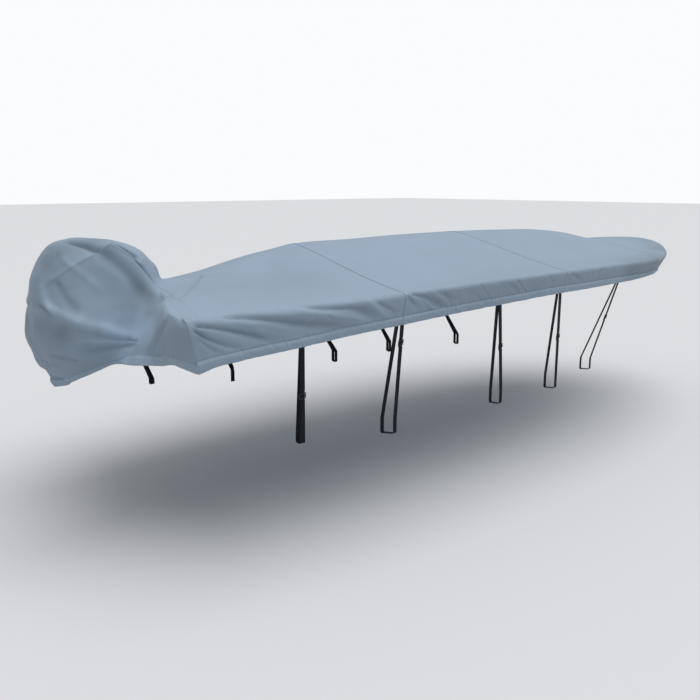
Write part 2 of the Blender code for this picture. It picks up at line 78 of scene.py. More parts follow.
# One row in millimetres for each station: plan half breadth, height of the edge fold, height
# of the ridge, depth of the skirt, how far its hem is drawn in, radius of the fold, and how
# much lower the port edge hangs
COLUMNS = ("x", "half_breadth", "sheer", "ridge", "drop", "tuck", "fold", "port")
STATIONS = dict(zip(COLUMNS, metres((
    (0, 806, -23, 35, 215, 15, 50, 45),
    (250, 858, -16, 45, 195, 25, 50, 66),
    (540, 908, -9, 62, 175, 30, 45, 88),
    (800, 935, -3, 130, 158, 30, 35, 98),
    (1060, 942, 1, 175, 152, 30, 25, 84),
    (1500, 942, 8, 188, 143, 30, 22, 46),
    (2000, 942, 12, 197, 136, 30, 22, 14),
    (2360, 938, 12, 198, 128, 30, 22, 0),
    (2800, 924, 12, 192, 128, 35, 22, 0),
    (3200, 888, 7, 176, 127, 45, 25, 0),
    (3550, 812, -1, 146, 128, 60, 28, 0),
    (3850, 720, -3, 95, 142, 75, 30, 0),
    (4100, 613, 7, 62, 165, 85, 32, 0),
    (4400, 440, 28, 55, 175, 90, 34, 0),
    (4690, 0, 55, 55, 180, 90, 34, 0),
)).T))

# One row for each rib of the hood's side, from the back seam round to the gusset's corner:
# five places down the cloth, each as (station, breadth, height) in millimetres
RIBS = metres((
    ((-312, 0, 10), (-320, 0, -100), (-318, 0, -200), (-276, 0, -310), (-238, 0, -400)),
    ((-284, 105, 70), (-298, 112, -80), (-303, 125, -190), (-260, 115, -300), (-220, 88, -380)),
    ((-200, 182, 145), (-222, 200, -10), (-230, 218, -150), (-203, 190, -270), (-170, 125, -362)),
    ((-116, 210, 195), (-117, 236, 30), (-120, 252, -130), (-105, 212, -250), (-90, 140, -330)),
    ((-30, 215, 232), (-15, 245, 60), (-10, 262, -100), (-15, 235, -230), (-20, 165, -307)),
    ((96, 200, 160), (75, 245, 40), (45, 275, -80), (15, 275, -200), (0, 250, -292)),
    ((139, 200, 105), (120, 265, 10), (65, 320, -90), (20, 345, -190), (10, 370, -273)),
    ((175, 220, 43), (145, 320, -10), (70, 420, -80), (20, 475, -170), (15, 510, -250)),
    ((188, 300, 20), (112, 440, -7), (10, 600, -26), (-12, 625, -130), (14, 640, -230)),
    ((160, 395, 12), (70, 570, -8), (-8, 712, -26), (-16, 722, -130), (16, 722, -233)),
))
PEAK = 4  # the rib whose top is the hood's highest corner
CORNER = len(RIBS)  # the last rib is the seam over the stern corner to the hem
CORNER_LANES = (0.60, 0.75, 0.90, 1.0, 1.33, 1.67, 2.0, 2.20, 2.40, 2.60, 2.80, 3.0)

# Crest of the hood on the centreline, as (station, height, roundness): the cap from the
# back point to the peak, then the gusset
CREST = np.array((
    (-0.312, 0.010, 2.0), (-0.290, 0.122, 2.2), (-0.205, 0.232, 2.2), (-0.085, 0.260, 2.2),
    (0.035, 0.251, 2.2), (0.170, 0.205, 2.4), (0.235, 0.145, 2.2), (0.285, 0.070, 1.8),
    (0.345, 0.048, 1.6), (0.430, 0.050, 1.4), (0.540, 0.062, 1.2),
))

# The size that each panel was cut to, with its hem and laps
Cut = namedtuple("Cut", "width length area")
CUTS = {
    "stern_panel": Cut(2.32, 1.06, 1.92),
    "middle_panel": Cut(2.24, 1.30, 2.86),
    "fore_panel": Cut(2.24, 1.50, 3.03),
    "bow_panel": Cut(1.90, 0.95, 1.23),
    "hood_cap": Cut(0.42, 0.42, 0.16),
    "neck_gusset": Cut(0.78, 0.60, 0.28),
    "hood_side_starboard": Cut(1.20, 0.60, 0.46),
    "hood_side_port": Cut(1.20, 0.60, 0.46),
}

# Webbing tie-downs, one row for each of a side: where it leaves the hem, how far apart its
# strands are there, the bar that its foot goes round (station, breadth of its outer face,
# top, height, thickness), and how far down the slider sits
WEBBING_WIDTH = 0.025
WEBBING_THICKNESS = 0.0016
WEBBING_BEND = 0.010
WEBBING_EDGE = 0.0005  # rounding of its edges
SEWN_LENGTH = 0.040
STRAIGHT_BELOW = 0.004
BAR_CLEARANCE = 0.0023
SEWN_CLEARANCE = 0.0008
PANEL_THICKNESS = 0.002  # of the solids, behind which the webbing is sewn
TieDown = namedtuple("TieDown", "hem spread foot breadth top height thickness slider")
TIE_DOWNS = (
    TieDown(0.505, 0.003, 0.600, 0.740, -0.640, 0.030, 0.026, 0.250),
    TieDown(1.052, 0.034, 1.165, 0.750, -0.667, 0.075, 0.052, 0.095),
    TieDown(1.785, 0.020, 2.020, 0.750, -0.667, 0.075, 0.052, 0.280),
    TieDown(2.330, 0.028, 2.555, 0.750, -0.667, 0.075, 0.052, 0.310),
    TieDown(3.013, 0.028, 3.160, 0.610, -0.667, 0.075, 0.052, 0.270),
)
SLIDER_LENGTH = 0.032
SLIDER_WIDTH = 0.034
SLIDER_THICKNESS = 0.003
SLIDER_BAR = 0.005
SLIDER_EDGE = 0.0007  # rounding of its edges
SLIDER_CORNER, SLOT_CORNER = 0.0035, 0.0012
SLOT_CLEARANCE = 0.0008
BEAD_RADIUS, BEAD_STRETCH = 0.0009, (13.0, 1.0, 0.8, 1.0)
TOUCH = 0.0003
# Where the webbing passes the slider: along it, 1 at an end bar's middle, and its side
WEAVE_ALONG, WEAVE_SIDE = np.array((
    (-2.0, 0), (-1.35, -1), (-0.62, -1), (-0.25, 1), (0.25, 1), (0.62, -1), (1.35, -1), (2.0, 0),
)).T


# Curves through tables
def between(keys, values, at):
    """A table's column on a smooth curve through its rows, for an array of places."""
    at = np.clip(at, keys[0], keys[-1])
    row = np.clip(np.searchsorted(keys, at, side="right") - 1, 0, len(keys) - 2)
    run = np.diff(keys)
    rise = np.diff(values) / run
    both = rise[:-1] + rise[1:]
    same_way = rise[:-1] * rise[1:] > 0
    inner = np.where(same_way, 2 * rise[:-1] * rise[1:] / np.where(same_way, both, 1), 0)
    slope = np.concatenate((rise[:1], inner, rise[-1:]))
    step = run[row]
    t = (at - keys[row]) / step
    return (
        values[row] * (1 + 2 * t) * (1 - t) ** 2
        + slope[row] * step * t * (1 - t) ** 2
        + values[row + 1] * t * t * (3 - 2 * t)
        - slope[row + 1] * step * t * t * (1 - t)
    )


def through(places, at):
    """Points on the Catmull-Rom curve through places[0], places[1] and so on.

    Each of the places is one point or an array of points, as many as at has.
    """
    places = np.asarray(places)
    if places.ndim == 2:
        places = np.broadcast_to(places[:, None, :], (len(places), len(at), places.shape[1]))
    before, after = 2 * places[:1] - places[1:2], 2 * places[-1:] - places[-2:-1]
    places = np.concatenate((before, places, after))
    i = np.clip(at.astype(int), 0, len(places) - 4)
    t = (at - i)[:, None]
    before, first, second, after = (places[i + k, np.arange(len(at))] for k in range(4))
    return 0.5 * (
        2 * first
        + (second - before) * t
        + (2 * before - 5 * first + 4 * second - after) * t * t
        + (3 * first - before - 3 * second + after) * t**3
    )


def smooth(share):
    share = np.clip(share, 0, 1)
    return share * share * (3 - 2 * share)


def ramp(at, start, run):
    """From 0 at the start to 1 over the run, which is negative where it goes down."""
    return smooth((at - start) / run)


def bell(away, width):
    return np.exp(-(away / width) ** 2)


def unit(vectors):
    return vectors / np.linalg.norm(vectors, axis=-1, keepdims=True)


# The cover's own surface
def station(x, column):
    return between(STATIONS["x"], STATIONS[column], x)


def half_breadth(x):
    share = np.clip((x - SEAM_FORE) / (BOW_TIP - SEAM_FORE), 0, 1)
    widest = station(SEAM_FORE, "half_breadth")
    rounded = widest * np.sqrt(1 - share**BOW_FULLNESS)
    return np.where(x <= SEAM_FORE, station(x, "half_breadth"), rounded)


def crown(share):
    rounded = np.hypot(share, RIDGE_ROUNDING) - RIDGE_ROUNDING
    full = math.hypot(1, RIDGE_ROUNDING) - RIDGE_ROUNDING
    return np.maximum(1 - rounded / full, 0.0) ** CROWN_SAG


def section(spine, rim, x, lane):
    """Points of cross-sections from spine points to rim points, both given in plan.

    Lanes 0 to 1 run from the spine to the edge fold, 1 to 2 round it, 2 to 3 down the skirt.
    """
    across = rim - spine
    reach = np.maximum(np.hypot(across[:, 0], across[:, 1]), 1e-9)
    outward = across / reach[:, None]
    sheer, fold = station(x, "sheer"), station(x, "fold")
    rise = station(spine[:, 0], "ridge") - sheer
    edge = sheer + rise * crown((reach - fold) / reach)
    flat_out = np.minimum(lane, 1) * (reach - fold)
    flat_height = sheer + rise * crown(flat_out / reach)
    turn = (np.clip(lane, 1, 2) - 1) * math.pi / 2
    round_out = reach - fold + fold * np.sin(turn)
    round_height = edge - fold + fold * np.cos(turn)
    down = np.maximum(lane - 2, 0)
    skirt_out = reach - station(x, "tuck") * down**SKIRT_CURVE
    skirt_height = (edge - fold) * (1 - down) + (sheer - station(x, "drop")) * down
    out = np.select([lane <= 1, lane <= 2], [flat_out, round_out], skirt_out)
    height = np.select([lane <= 1, lane <= 2], [flat_height, round_height], skirt_height)
    return np.column_stack((spine + outward * out[:, None], height))


def lowered(points, x):
    """The port side hangs a little lower, in proportion to the breadth."""
    share = np.maximum(points[:, 1], 0) / np.maximum(half_breadth(x), 0.1)
    points = points.copy()
    points[:, 2] -= station(x, "port") * np.minimum(share, 1)
    return points


def alike(*arrays):
    """The arrays as numbers, all of one shape."""
    return np.broadcast_arrays(*(np.asarray(array, float) for array in arrays))


def deck(x, lane, side):
    """Points of straight cross-sections; side is -1 to starboard, 1 to port."""
    x, lane, side = alike(x, lane, side)
    spine = np.column_stack((x, np.zeros_like(x)))
    rim = np.column_stack((x, side * half_breadth(x)))
    return lowered(section(spine, rim, x, lane), x)


def bow_station(turn):
    share = np.maximum(np.cos(turn * math.pi / 2), 0) ** (2 / BOW_FULLNESS)
    return SEAM_FORE + (BOW_TIP - SEAM_FORE) * share


def bow(turn, lane):
    """Points of the bow panel: turn runs from starboard at the seam, -1, to port, 1."""
    breadth = station(SEAM_FORE, "half_breadth") * np.sin(turn * math.pi / 2)
    x = bow_station(turn)
    spine = np.column_stack((SEAM_FORE + (x - SEAM_FORE) * SPINE_REACH, np.zeros_like(x)))
    return section(spine, np.column_stack((x, breadth)), x, lane)


def cross_seam(seam, bowed=SEAM_BOW):
    """A deck seam, as a function from lane to station: it runs forward over the ridge."""
    return lambda lane: seam + bowed * np.maximum(1 - lane, 0.0) ** 2


def dart_station(lane):
    """Where the stern panel ends, aft: the dart seam, then over the corner to the hem."""
    dart = DART_TIP + (DART_VERTEX - DART_TIP) * lane / DART_SHARE
    over = DART_VERTEX * (CORNER_LANE - lane) / (CORNER_LANE - DART_SHARE)
    hem = HEM_CORNER * np.maximum(lane - 2, 0.0)
    return np.select([lane <= DART_SHARE, lane <= CORNER_LANE], [dart, over], hem)


def rib(number, down, side):
    """Points of a rib: down runs from 0 at its top to 1 at the hem."""
    if number == CORNER:
        lane = np.interp(down * (len(CORNER_LANES) - 1), range(len(CORNER_LANES)), CORNER_LANES)
        return deck(dart_station(lane), lane, side)
    places = through(RIBS[number], down * 4)
    places[:, 1] *= side
    return lowered(places, np.zeros_like(down))


def hood(at, down, side):
    """Points of the hood's side: at counts the ribs."""
    at, down, side = alike(at, down, side)
    return through([rib(i, down, side) for i in range(CORNER + 1)], at)


def crossing(at, across):
    """Points on the arcs from the crest, 0, to the hood's side seams, -1 and 1."""
    at, across = alike(at, across)
    row = through(CREST, at)
    crest = np.column_stack((row[:, 0], np.zeros_like(at), row[:, 1]))
    side = np.where(across < 0, -1.0, 1.0)
    seam = hood(at, 0.0, side)
    share = np.abs(across)
    points = crest + (seam - crest) * (share ** row[:, 2])[:, None]
    points[:, 1] = seam[:, 1] * share
    lane = DART_SHARE * share
    dart = deck(dart_station(lane), lane, side)
    # The last rows settle onto the dart seam
    return points + (dart - points) * np.maximum(at - (CORNER - 1), 0)[:, None] ** 2


# Sizes of the fine surface
CLOTH = 0.0014
# Rows of the grid at a sewn edge, by distance, with the two rows of stitches among them
SEAM_ROWS = np.array((0.0, 0.0015, 0.003, 0.006, 0.009, 0.0115, 0.0130, 0.0170))
STITCH_ROWS = (2, 4)
MEETING_REACH = 0.009  # within which places on two edges take each other's normals
SHARED_WIDTH = 0.03  # over which those normals run out into the panel
CALM, CALM_WIDTH = 0.85, 0.02  # how much calmer the slack cloth is beside a seam
LAP_WIDTH = 0.012  # of the doubled cloth on the lapping side of a seam
LAP_RISE = 0.0012
SEAM_DRAW, SEAM_HOLLOW = 0.0018, 0.016  # how far the cloth is drawn in along a seam, how wide
# Rows of the grid above the hem, by distance, with the row of its stitches among them
HEM_ROWS = metres((0, 2, 5, 9, 14, 20, 26, 32, 38, 42, 44.5, 47, 50, 55))
HEM_STITCHES = 10
HEM_WIDTH = 0.0445
HEM_PUFF = 0.0075  # how far the gathered hem stands out
HEM_GROOVE, GROOVE_WIDTH = 0.0020, 0.0022  # along its stitches
PUCKER = 0.0048  # height of its puckers
PUCKERS = ((0.70, 0.027, 6.0), (0.45, 0.0163, 10.2))  # each wave's height, pitch and wander
PUCKER_SLANT, PUCKER_SHARPNESS = 0.35, 1.6
WANDER_SIZE, PUCKER_GROUP = 0.07, 0.052  # lengths of hem that wander or pucker alike
PUCKERS_FADE = (0.014, 0.020)  # from the stitches down, and up
PUCKER_TOP = 0.2  # above the hem, where there are none any more
EDGE = np.array((0.0,))
DECK_LANES = np.linspace(0, 1, 40)
FOLD_LANES = np.linspace(1, 2, 9)[1:]
SKIRT_ROWS, HOOD_ROWS = 18, 58
# Even steps from seam to seam, between the rows at the seams
STEPS = {
    "stern_panel": 150, "middle_panel": 232, "fore_panel": 262, "bow_panel": 380,
    "hood_cap": 58, "neck_gusset": 96,
}
HOOD_COLUMNS, CROSSING_COLUMNS = 176, 66
# About how long the rows are that the even steps run along
BOW_RIM_LENGTH, HOOD_EDGE_LENGTH = 2.45, 1.1
CREST_RIB_LENGTH, CROSSING_LENGTH = 0.095, 0.42
HOOD_DEPTHS = ((0, 2, 6, 8, 10), (0.43, 0.54, 0.45, 0.55, 0.63))  # at ribs, down the cloth

# One row in millimetres for each fold of the starboard side, from its pointed end: how deep
# it is, or how high where that is negative, how wide at either end, the shares of its length
# over which it begins and ends, and its places on the cloth as (station, breadth, height).
# The port side's are the same and shallower.
Fold = namedtuple("Fold", "depth narrow wide begins ends places")
PORT_SHARE = 0.7
FOLD_SAMPLES = 16  # along a fold, for each of its places
FOLD_REACH = 3  # in its widths, past which a fold does nothing


def folds(*rows):
    return [Fold(*metres(row[:3]), *row[3:5], metres(row[5:])) for row in rows]


HOOD_FOLDS = folds(
    # From the crest, over the cap's seam and down to the hood's foot
    (19, 18, 44, 0.1, 0.25, (-170, 20, 250), (-152, 43, 250), (-112, 127, 235), (-88, 199, 217),
        (-41, 225, 176), (9, 231, 130), (55, 236, 79), (89, 250, 28), (106, 300, -20),
        (100, 340, -60)),
    (9, 7, 12, 0.08, 0.3, (-147, 34, 252), (-123, 93, 244), (-103, 131, 235), (-87, 198, 217),
        (-41, 222, 190)),
    # The light rim behind, and the slack below and above it
    (-10, 10, 22, 0.2, 0.35, (-297, 86, 24), (-280, 133, -24), (-244, 190, -55), (-205, 227, -86),
        (-159, 245, -106)),
    (9, 8, 12, 0.2, 0.3, (-306, 57, -16), (-294, 110, -37), (-275, 149, -62)),
    (12, 12, 26, 0.2, 0.3, (-262, 130, 80), (-248, 154, 70), (-238, 176, 27), (-208, 214, -27),
        (-184, 232, -61)),
    # The broad bulge, and the two pointed folds that meet low on the side under it
    (-11, 14, 36, 0.3, 0.3, (25, 298, -170), (-12, 256, -164), (-93, 255, -128), (-190, 235, -90),
        (-229, 209, -66)),
    (10, 3, 26, 0.12, 0.3, (26, 312, -184), (22, 300, -183), (12, 262, -182), (-12, 252, -177),
        (-39, 250, -171), (-79, 252, -158), (-119, 251, -146), (-157, 245, -131),
        (-192, 236, -121), (-258, 188, -110), (-304, 103, -106)),
    (-6, 5, 12, 0.15, 0.3, (18, 290, -192), (5, 255, -192), (-44, 243, -190), (-100, 240, -184),
        (-182, 232, -172), (-269, 176, -158)),
    (10, 4, 24, 0.1, 0.25, (22, 302, -197), (18, 292, -199), (5, 253, -208), (-17, 241, -212),
        (-44, 237, -213), (-89, 232, -215), (-130, 227, -217), (-184, 218, -214),
        (-233, 201, -212)),
    # Short creases under them
    (8, 8, 14, 0.3, 0.3, (-190, 190, -262), (-219, 190, -255), (-275, 148, -235), (-305, 80, -217)),
    (7, 8, 14, 0.3, 0.3, (-240, 110, -300), (-275, 78, -292), (-290, 40, -276)),
    # The stern flap's crisp edge, the hollow behind it, and a crease in the stretched cloth
    (-10, 10, 18, 0.15, 0.2, (4, 631, -19), (-3, 606, -55), (26, 505, -110), (26, 442, -167),
        (16, 412, -209), (13, 401, -259)),
    (6, 12, 26, 0.15, 0.15, (-3, 665, -23), (-10, 645, -58), (4, 566, -110), (18, 487, -171),
        (16, 446, -218), (14, 435, -260)),
    (-6, 8, 10, 0.2, 0.2, (4, 631, -15), (-4, 693, -18), (-4, 750, -20), (5, 785, -27)),
    (5, 6, 8, 0.2, 0.5, (26, 526, -74), (33, 450, -115), (36, 392, -150)),
    # A light wedge at the end of the crown seam
    (-4, 14, 22, 0.3, 0.5, (140, 235, 40), (150, 300, 16), (145, 360, 10)),
    # The soft ridge across the cap's seam, and creases beside it
    (-5, 10, 20, 0.2, 0.3, (-206, 113, 199), (-208, 142, 174), (-190, 189, 144), (-157, 212, 111),
        (-113, 233, 60), (-76, 245, 19)),
    (5, 8, 12, 0.3, 0.3, (-215, 30, 225), (-225, 15, 215), (-244, 4, 194)),
    (4, 8, 14, 0.3, 0.3, (-211, 76, 214), (-226, 96, 188), (-239, 111, 160)),
    # The crown seam's own trough where it runs down, and a hollow along it
    (11, 7, 9, 0.25, 0.3, (70, 202, 190), (96, 200, 160), (139, 200, 105), (170, 213, 55),
        (182, 250, 32)),
    (13, 9, 12, 0.15, 0.35, (0, 172, 242), (39, 186, 219), (75, 187, 195), (109, 184, 171),
        (130, 189, 147)),
)
SKIRT_FOLDS = folds(
    # The fan from the stern corner
    (15, 7, 18, 0.08, 0.35, (5, 801, -40), (90, 824, -59), (167, 840, -81), (261, 854, -107),
        (334, 862, -132), (428, 872, -152)),
    (12, 6, 14, 0.08, 0.35, (10, 806, -58), (56, 816, -91), (98, 822, -114), (171, 832, -143),
        (240, 841, -161)),
    (19, 10, 24, 0.15, 0.35, (120, 812, -20), (197, 830, -26), (295, 862, -40), (381, 883, -60),
        (540, 901, -88), (664, 910, -107), (797, 917, -117)),
    (6, 6, 10, 0.15, 0.45, (20, 806, -90), (100, 815, -150), (160, 822, -180)),
    # From the edge fold down to the first cross seam, and the ridges between
    (16, 12, 22, 0.12, 0.35, (480, 870, -10), (621, 913, -26), (749, 931, -41), (831, 930, -67),
        (916, 923, -102)),
    (-6, 10, 16, 0.2, 0.3, (428, 877, -23), (578, 913, -48), (754, 923, -85), (891, 918, -119)),
    (-8, 10, 18, 0.15, 0.4, (814, 923, -7), (899, 932, -66), (981, 920, -119)),
    (7, 8, 14, 0.15, 0.45, (870, 936, -20), (960, 934, -60), (1030, 922, -105)),
    # Just forward of it
    (11, 10, 18, 0.12, 0.35, (1085, 936, -2), (1178, 941, -26), (1280, 932, -66),
        (1370, 921, -105)),
    (8, 7, 14, 0.15, 0.45, (1066, 936, -10), (1101, 938, -42), (1169, 927, -89)),
    (6, 7, 14, 0.15, 0.45, (1260, 938, -4), (1340, 936, -36), (1460, 925, -80)),
    # Soft ones farther forward
    (5, 10, 18, 0.25, 0.45, (1800, 941, -10), (1884, 933, -50), (1966, 922, -91)),
    (5, 10, 18, 0.25, 0.45, (2373, 936, 2), (2450, 931, -30), (2552, 919, -62)),
    (5, 10, 18, 0.25, 0.45, (2779, 922, 4), (2711, 925, -20), (2651, 920, -46)),
)

# One row in millimetres for each place where the cloth has settled a little off the solids:
# how far, as (forward, up), from one place to another, and how far round them it reaches
SETTLED = (
    # The hollow of the neck, flatter than its ridge, and the ridge behind and before the seam
    ((0, -16), (345, 0, 50), (480, 0, 55), 90),
    ((0, -10), (420, 120, 50), (470, 380, 30), 100),
    ((0, -17), (710, 420, 15), (760, 200, 80), 110),
    ((0, -16), (640, 0, 95), (860, 0, 145), 200),
    ((0, -15), (850, 120, 125), (950, 70, 152), 120),
    ((0, -8), (1600, 0, 190), (2900, 0, 185), 250),
    # The dart's tip, where four layers meet
    ((0, 5), (575, 0, 68), (575, 50, 66), 25),
    # The hood's front foot, its top and its peak
    ((10, 8), (258, 0, 112), (245, 100, 105), 35),
    ((0, -10), (-22, 0, 259), (14, 0, 255), 50),
    ((4, 5), (44, 0, 251), (44, 0, 251), 30),
    ((0, 10), (-25, 205, 235), (-25, 205, 235), 30),
    # Its back: flatter above the belly, and the belly
    ((6, 0), (-275, 85, 110), (-296, 95, -10), 70),
    ((-8, 0), (-300, 100, -75), (-305, 112, -140), 60),
    ((-9, 0), (-272, 95, -290), (-262, 90, -318), 30),
    # The hollow between the hood and the stern corner, shallower
    ((0, 12), (105, 380, -35), (75, 470, -35), 50),
    ((0, -7), (150, 350, 15), (105, 510, 1), 35),
    # The lowest corners of the hem, at the stern and behind, and the hem between them
    ((0, -15), (45, 790, -238), (45, 790, -238), 50),
    ((36, -6), (-238, 64, -370), (-233, 52, -388), 40),
    ((-10, -4), (-238, 0, -400), (-238, 0, -400), 40),
    ((0, 6), (-210, 90, -380), (-170, 125, -362), 50),
    ((0, -8), (4, 300, -285), (14, 540, -245), 80),
)

# One row for each place painted lighter than round it, or darker where negative, as painted light
# and shade that partly stands for uneven fading: how much, then from one place to another, and how
# far round them it reaches, in millimetres
PAINTED_LIGHT_AND_FADING = (
    (1.6, (-120, 245, 0), (20, 300, -100), 100),
    (1.1, (40, 355, -120), (14, 340, -270), 70),
    (-2.6, (-250, 60, 190), (-80, 120, 240), 90),
    (-2.3, (-309, 75, -105), (-262, 185, -128), 50),
    (-0.6, (-262, 185, -128), (-180, 225, -150), 40),
    (-1.3, (-309, 40, -10), (-285, 133, -64), 20),
    (2.2, (-296, 80, 65), (-280, 133, -24), 24),
    (1.6, (-280, 133, -24), (-159, 245, -106), 26),
    (-3.0, (14, 180, 232), (100, 186, 180), 17),
    (3.2, (-80, 256, -120), (10, 285, -148), 42),
    (2.4, (12, 270, -222), (-6, 230, -270), 28),
    (1.4, (-12, 252, -180), (-15, 215, -268), 50),
    (-0.9, (-317, 20, -190), (-305, 10, -260), 50),
    (-1.8, (3150, 890, -60), (3650, 790, -70), 120),
    (-2.8, (85, 250, 40), (95, 320, -55), 50),
    (2.0, (-1, 228, -282), (14, 439, -253), 35),
    (-0.6, (400, 300, 40), (750, 600, 80), 250),
    (1.2, (120, 380, 0), (80, 440, -20), 35),
    (-0.5, (0, 760, -100), (10, 560, -160), 100),
    (0.6, (150, 840, -120), (550, 890, -140), 80),
    (-0.6, (1300, 940, -60), (3500, 820, -80), 120),
    (-1.4, (3700, 750, -80), (4200, 550, -80), 140),
    (-2.4, (4200, 550, -80), (4650, 150, -40), 140),
)


# Unevenness of the cloth
def lattice(cell, seed):
    """A repeatable number from -1 to 1 for each corner of a lattice."""
    mixed = cell[:, 0] * 73856093 ^ cell[:, 1] * 19349663 ^ cell[:, 2] * 83492791 ^ seed * 2654435
    mixed = (mixed ^ (mixed >> 13)) & 0xFFFFFFFF
    mixed = (mixed * 1274126177) & 0xFFFFFFFF
    return ((mixed ^ (mixed >> 16)) & 0xFFFF) / 32767.5 - 1


def uneven(points, size, seed):
    """Smooth unevenness from -1 to 1, whose lumps have about that size, or three sizes."""
    scaled = points / size
    cell = np.floor(scaled).astype(np.int64)
    t = scaled - cell
    t = t * t * t * (t * (t * 6 - 15) + 10)
    total = np.zeros(len(points))
    for corner in range(8):
        step = np.array((corner & 1, corner >> 1 & 1, corner >> 2 & 1))
        weight = np.prod(np.where(step, t, 1 - t), axis=1)
        total += weight * lattice(cell + step, seed)
    return total


def creased(points, size, seed):
    """Unevenness with sharp valleys between rounded lumps, from 0 to 1."""
    return 1 - np.sqrt(uneven(points, size, seed) ** 2 + 0.004)


def fold_depth(points, side):
    """How far one side's folds press in at each point."""
    depth = np.zeros(len(points))
    for fold in HOOD_FOLDS + SKIRT_FOLDS:
        line = fold.places * (1, side, 1)
        line = lowered(line, line[:, 0])
        line = through(line, np.linspace(0, len(line) - 1, FOLD_SAMPLES * len(line)))
        reach = FOLD_REACH * max(fold.narrow, fold.wide)
        near = np.all((points > line.min(0) - reach) & (points < line.max(0) + reach), axis=1)
        chosen = np.flatnonzero(near)
        if not len(chosen):
            continue
        away = ((points[chosen, None, :] - line[None, :, :]) ** 2).sum(2)
        nearest = away.argmin(1)
        along = nearest / (len(line) - 1)
        width = fold.narrow + (fold.wide - fold.narrow) * along
        taper = smooth(along / fold.begins) * smooth((1 - along) / fold.ends)
        bulk = np.exp(-away[np.arange(len(chosen)), nearest] / width**2)
        depth[chosen] += fold.depth * taper * bulk
    return depth


def nearness(points, start, end, reach):
    """How near the points of either side are to a row's places: 1 there, fading to 0."""
    folded_over = points * (1, 0, 1) + np.abs(points) * (0, 1, 0)
    start, end = metres((start, end))
    run = end - start
    along = np.clip((folded_over - start) @ run / max(run @ run, 1e-9), 0, 1)
    away = ((folded_over - start - along[:, None] * run) ** 2).sum(1)
    return np.exp(-away / (reach / 1000) ** 2)


def settled(points):
    """The points with the cover's settled places moved."""
    moved = points.copy()
    for shift, *place in SETTLED:
        moved[:, ::2] += nearness(points, *place)[:, None] * metres(shift)
    return moved


# The panels' grids
def ladder(length, near, far, count):
    """Shares of each length: set distances at both ends, and even steps between them."""
    length = np.asarray(length, float).reshape(-1, 1)
    low, high = near / length, 1 - far[::-1] / length
    steps = np.linspace(0, 1, count + 2)[1:-1]
    return np.hstack((low, low[:, -1:] + (high[:, :1] - low[:, -1:]) * steps, high))


def skirt_length(x):
    return np.hypot(station(x, "drop") - station(x, "fold"), station(x, "tuck"))


def lanes_at(x):
    """Lanes from the spine to the hem at each station, with the hem's own rows."""
    down = ladder(skirt_length(x), EDGE, HEM_ROWS, SKIRT_ROWS)
    level = np.concatenate((DECK_LANES, FOLD_LANES[:-1]))
    return np.hstack((np.tile(level, (len(x), 1)), 2 + down))


def row_from(which, row=0):
    """The index of one of a grid's rows, counted from that edge."""
    every = slice(None)
    return {
        "first": (row, every), "last": (-1 - row, every),
        "left": (every, row), "right": (every, -1 - row),
    }[which]


class Panel:
    """A grid of places on one piece of cloth, and what is known at each of them."""

    def __init__(self, name, surface, first, second, sewn, laps):
        """surface takes arrays of the two co-ordinates, whose shape is the grid's."""
        self.name = name
        self.shape = first.shape
        self.points = settled(surface(first.ravel(), second.ravel())).reshape(*self.shape, 3)
        self.sewn, self.laps = sewn, laps
        self.first, self.second = first, second
        self.find_normals()
        self.find_edges()
        self.cut = np.dstack((self.away["first"], self.away["left"]))
        self.below = np.full(self.shape, 9.0)  # far above any hem
        self.skirt = np.zeros(self.shape)

    def find_normals(self):
        down, across = np.gradient(self.points, axis=0), np.gradient(self.points, axis=1)
        normals = np.cross(down, across)
        size = np.linalg.norm(normals, axis=2, keepdims=True)
        normals /= np.maximum(size, 1e-12)
        middle = tuple(n // 2 for n in self.shape)
        centre = self.points[middle]
        # Normals point away from this place inside the cover
        inside = np.array((np.clip(centre[0], 0, SEAM_FORE), 0, -0.2))
        self.turned = (normals[middle] * (centre - inside)).sum() < 0
        self.normals = -normals if self.turned else normals
        # Where the grid runs thin, a normal is its neighbours' mean
        rows, columns = self.shape
        for _ in range(3):
            wide = np.pad(self.normals, ((1, 1), (1, 1), (0, 0)), mode="edge")
            self.normals = unit(sum(
                wide[i : i + rows, j : j + columns] for i in range(3) for j in range(3)
            ))
        # A row that shrinks to a point takes its neighbours' normals
        for edge, inner in ((0, 1), (-1, -2)):
            if size[edge].max() < 1e-6:
                self.normals[edge] = self.normals[inner].mean(0)

    def find_edges(self):
        """Distances to each of the four edges along the cloth."""
        self.away = {}
        for axis, near, far in ((0, "first", "last"), (1, "left", "right")):
            steps = np.linalg.norm(np.diff(self.points, axis=axis), axis=2)
            run = np.insert(steps.cumsum(axis), 0, 0, axis)
            self.away[near], self.away[far] = run, run.take([-1], axis) - run

    def hang(self, x, lane):
        """Notes the places of the skirt: how far each is above the hem."""
        self.below = (3 - lane) * skirt_length(x)
        self.skirt = ramp(lane, 1.3, 0.7)


def share_edges(panels):
    """Turns the normals at sewn edges to the mean of the panels that meet there."""
    edges = []
    for panel in panels:
        for which in panel.sewn:
            at = row_from(which)
            edges.append((panel, which, panel.points[at], panel.normals[at].copy()))
    for panel, which, points, normals in edges:
        total = normals.copy()
        for other, _, places, theirs in edges:
            if other is panel:
                continue
            apart = ((points[:, None, :] - places[None, :, :]) ** 2).sum(2)
            mean = np.exp(-apart / MEETING_REACH**2) @ theirs
            size = np.linalg.norm(mean, axis=1, keepdims=True)
            total += np.where(size > 0.2, mean / np.maximum(size, 1e-9), 0)
        total = unit(total)
        share = bell(panel.away[which], SHARED_WIDTH)[..., None]
        shared = total[None, :, :] if which in ("first", "last") else total[:, None, :]
        panel.normals = unit(panel.normals * (1 - share) + shared * share)


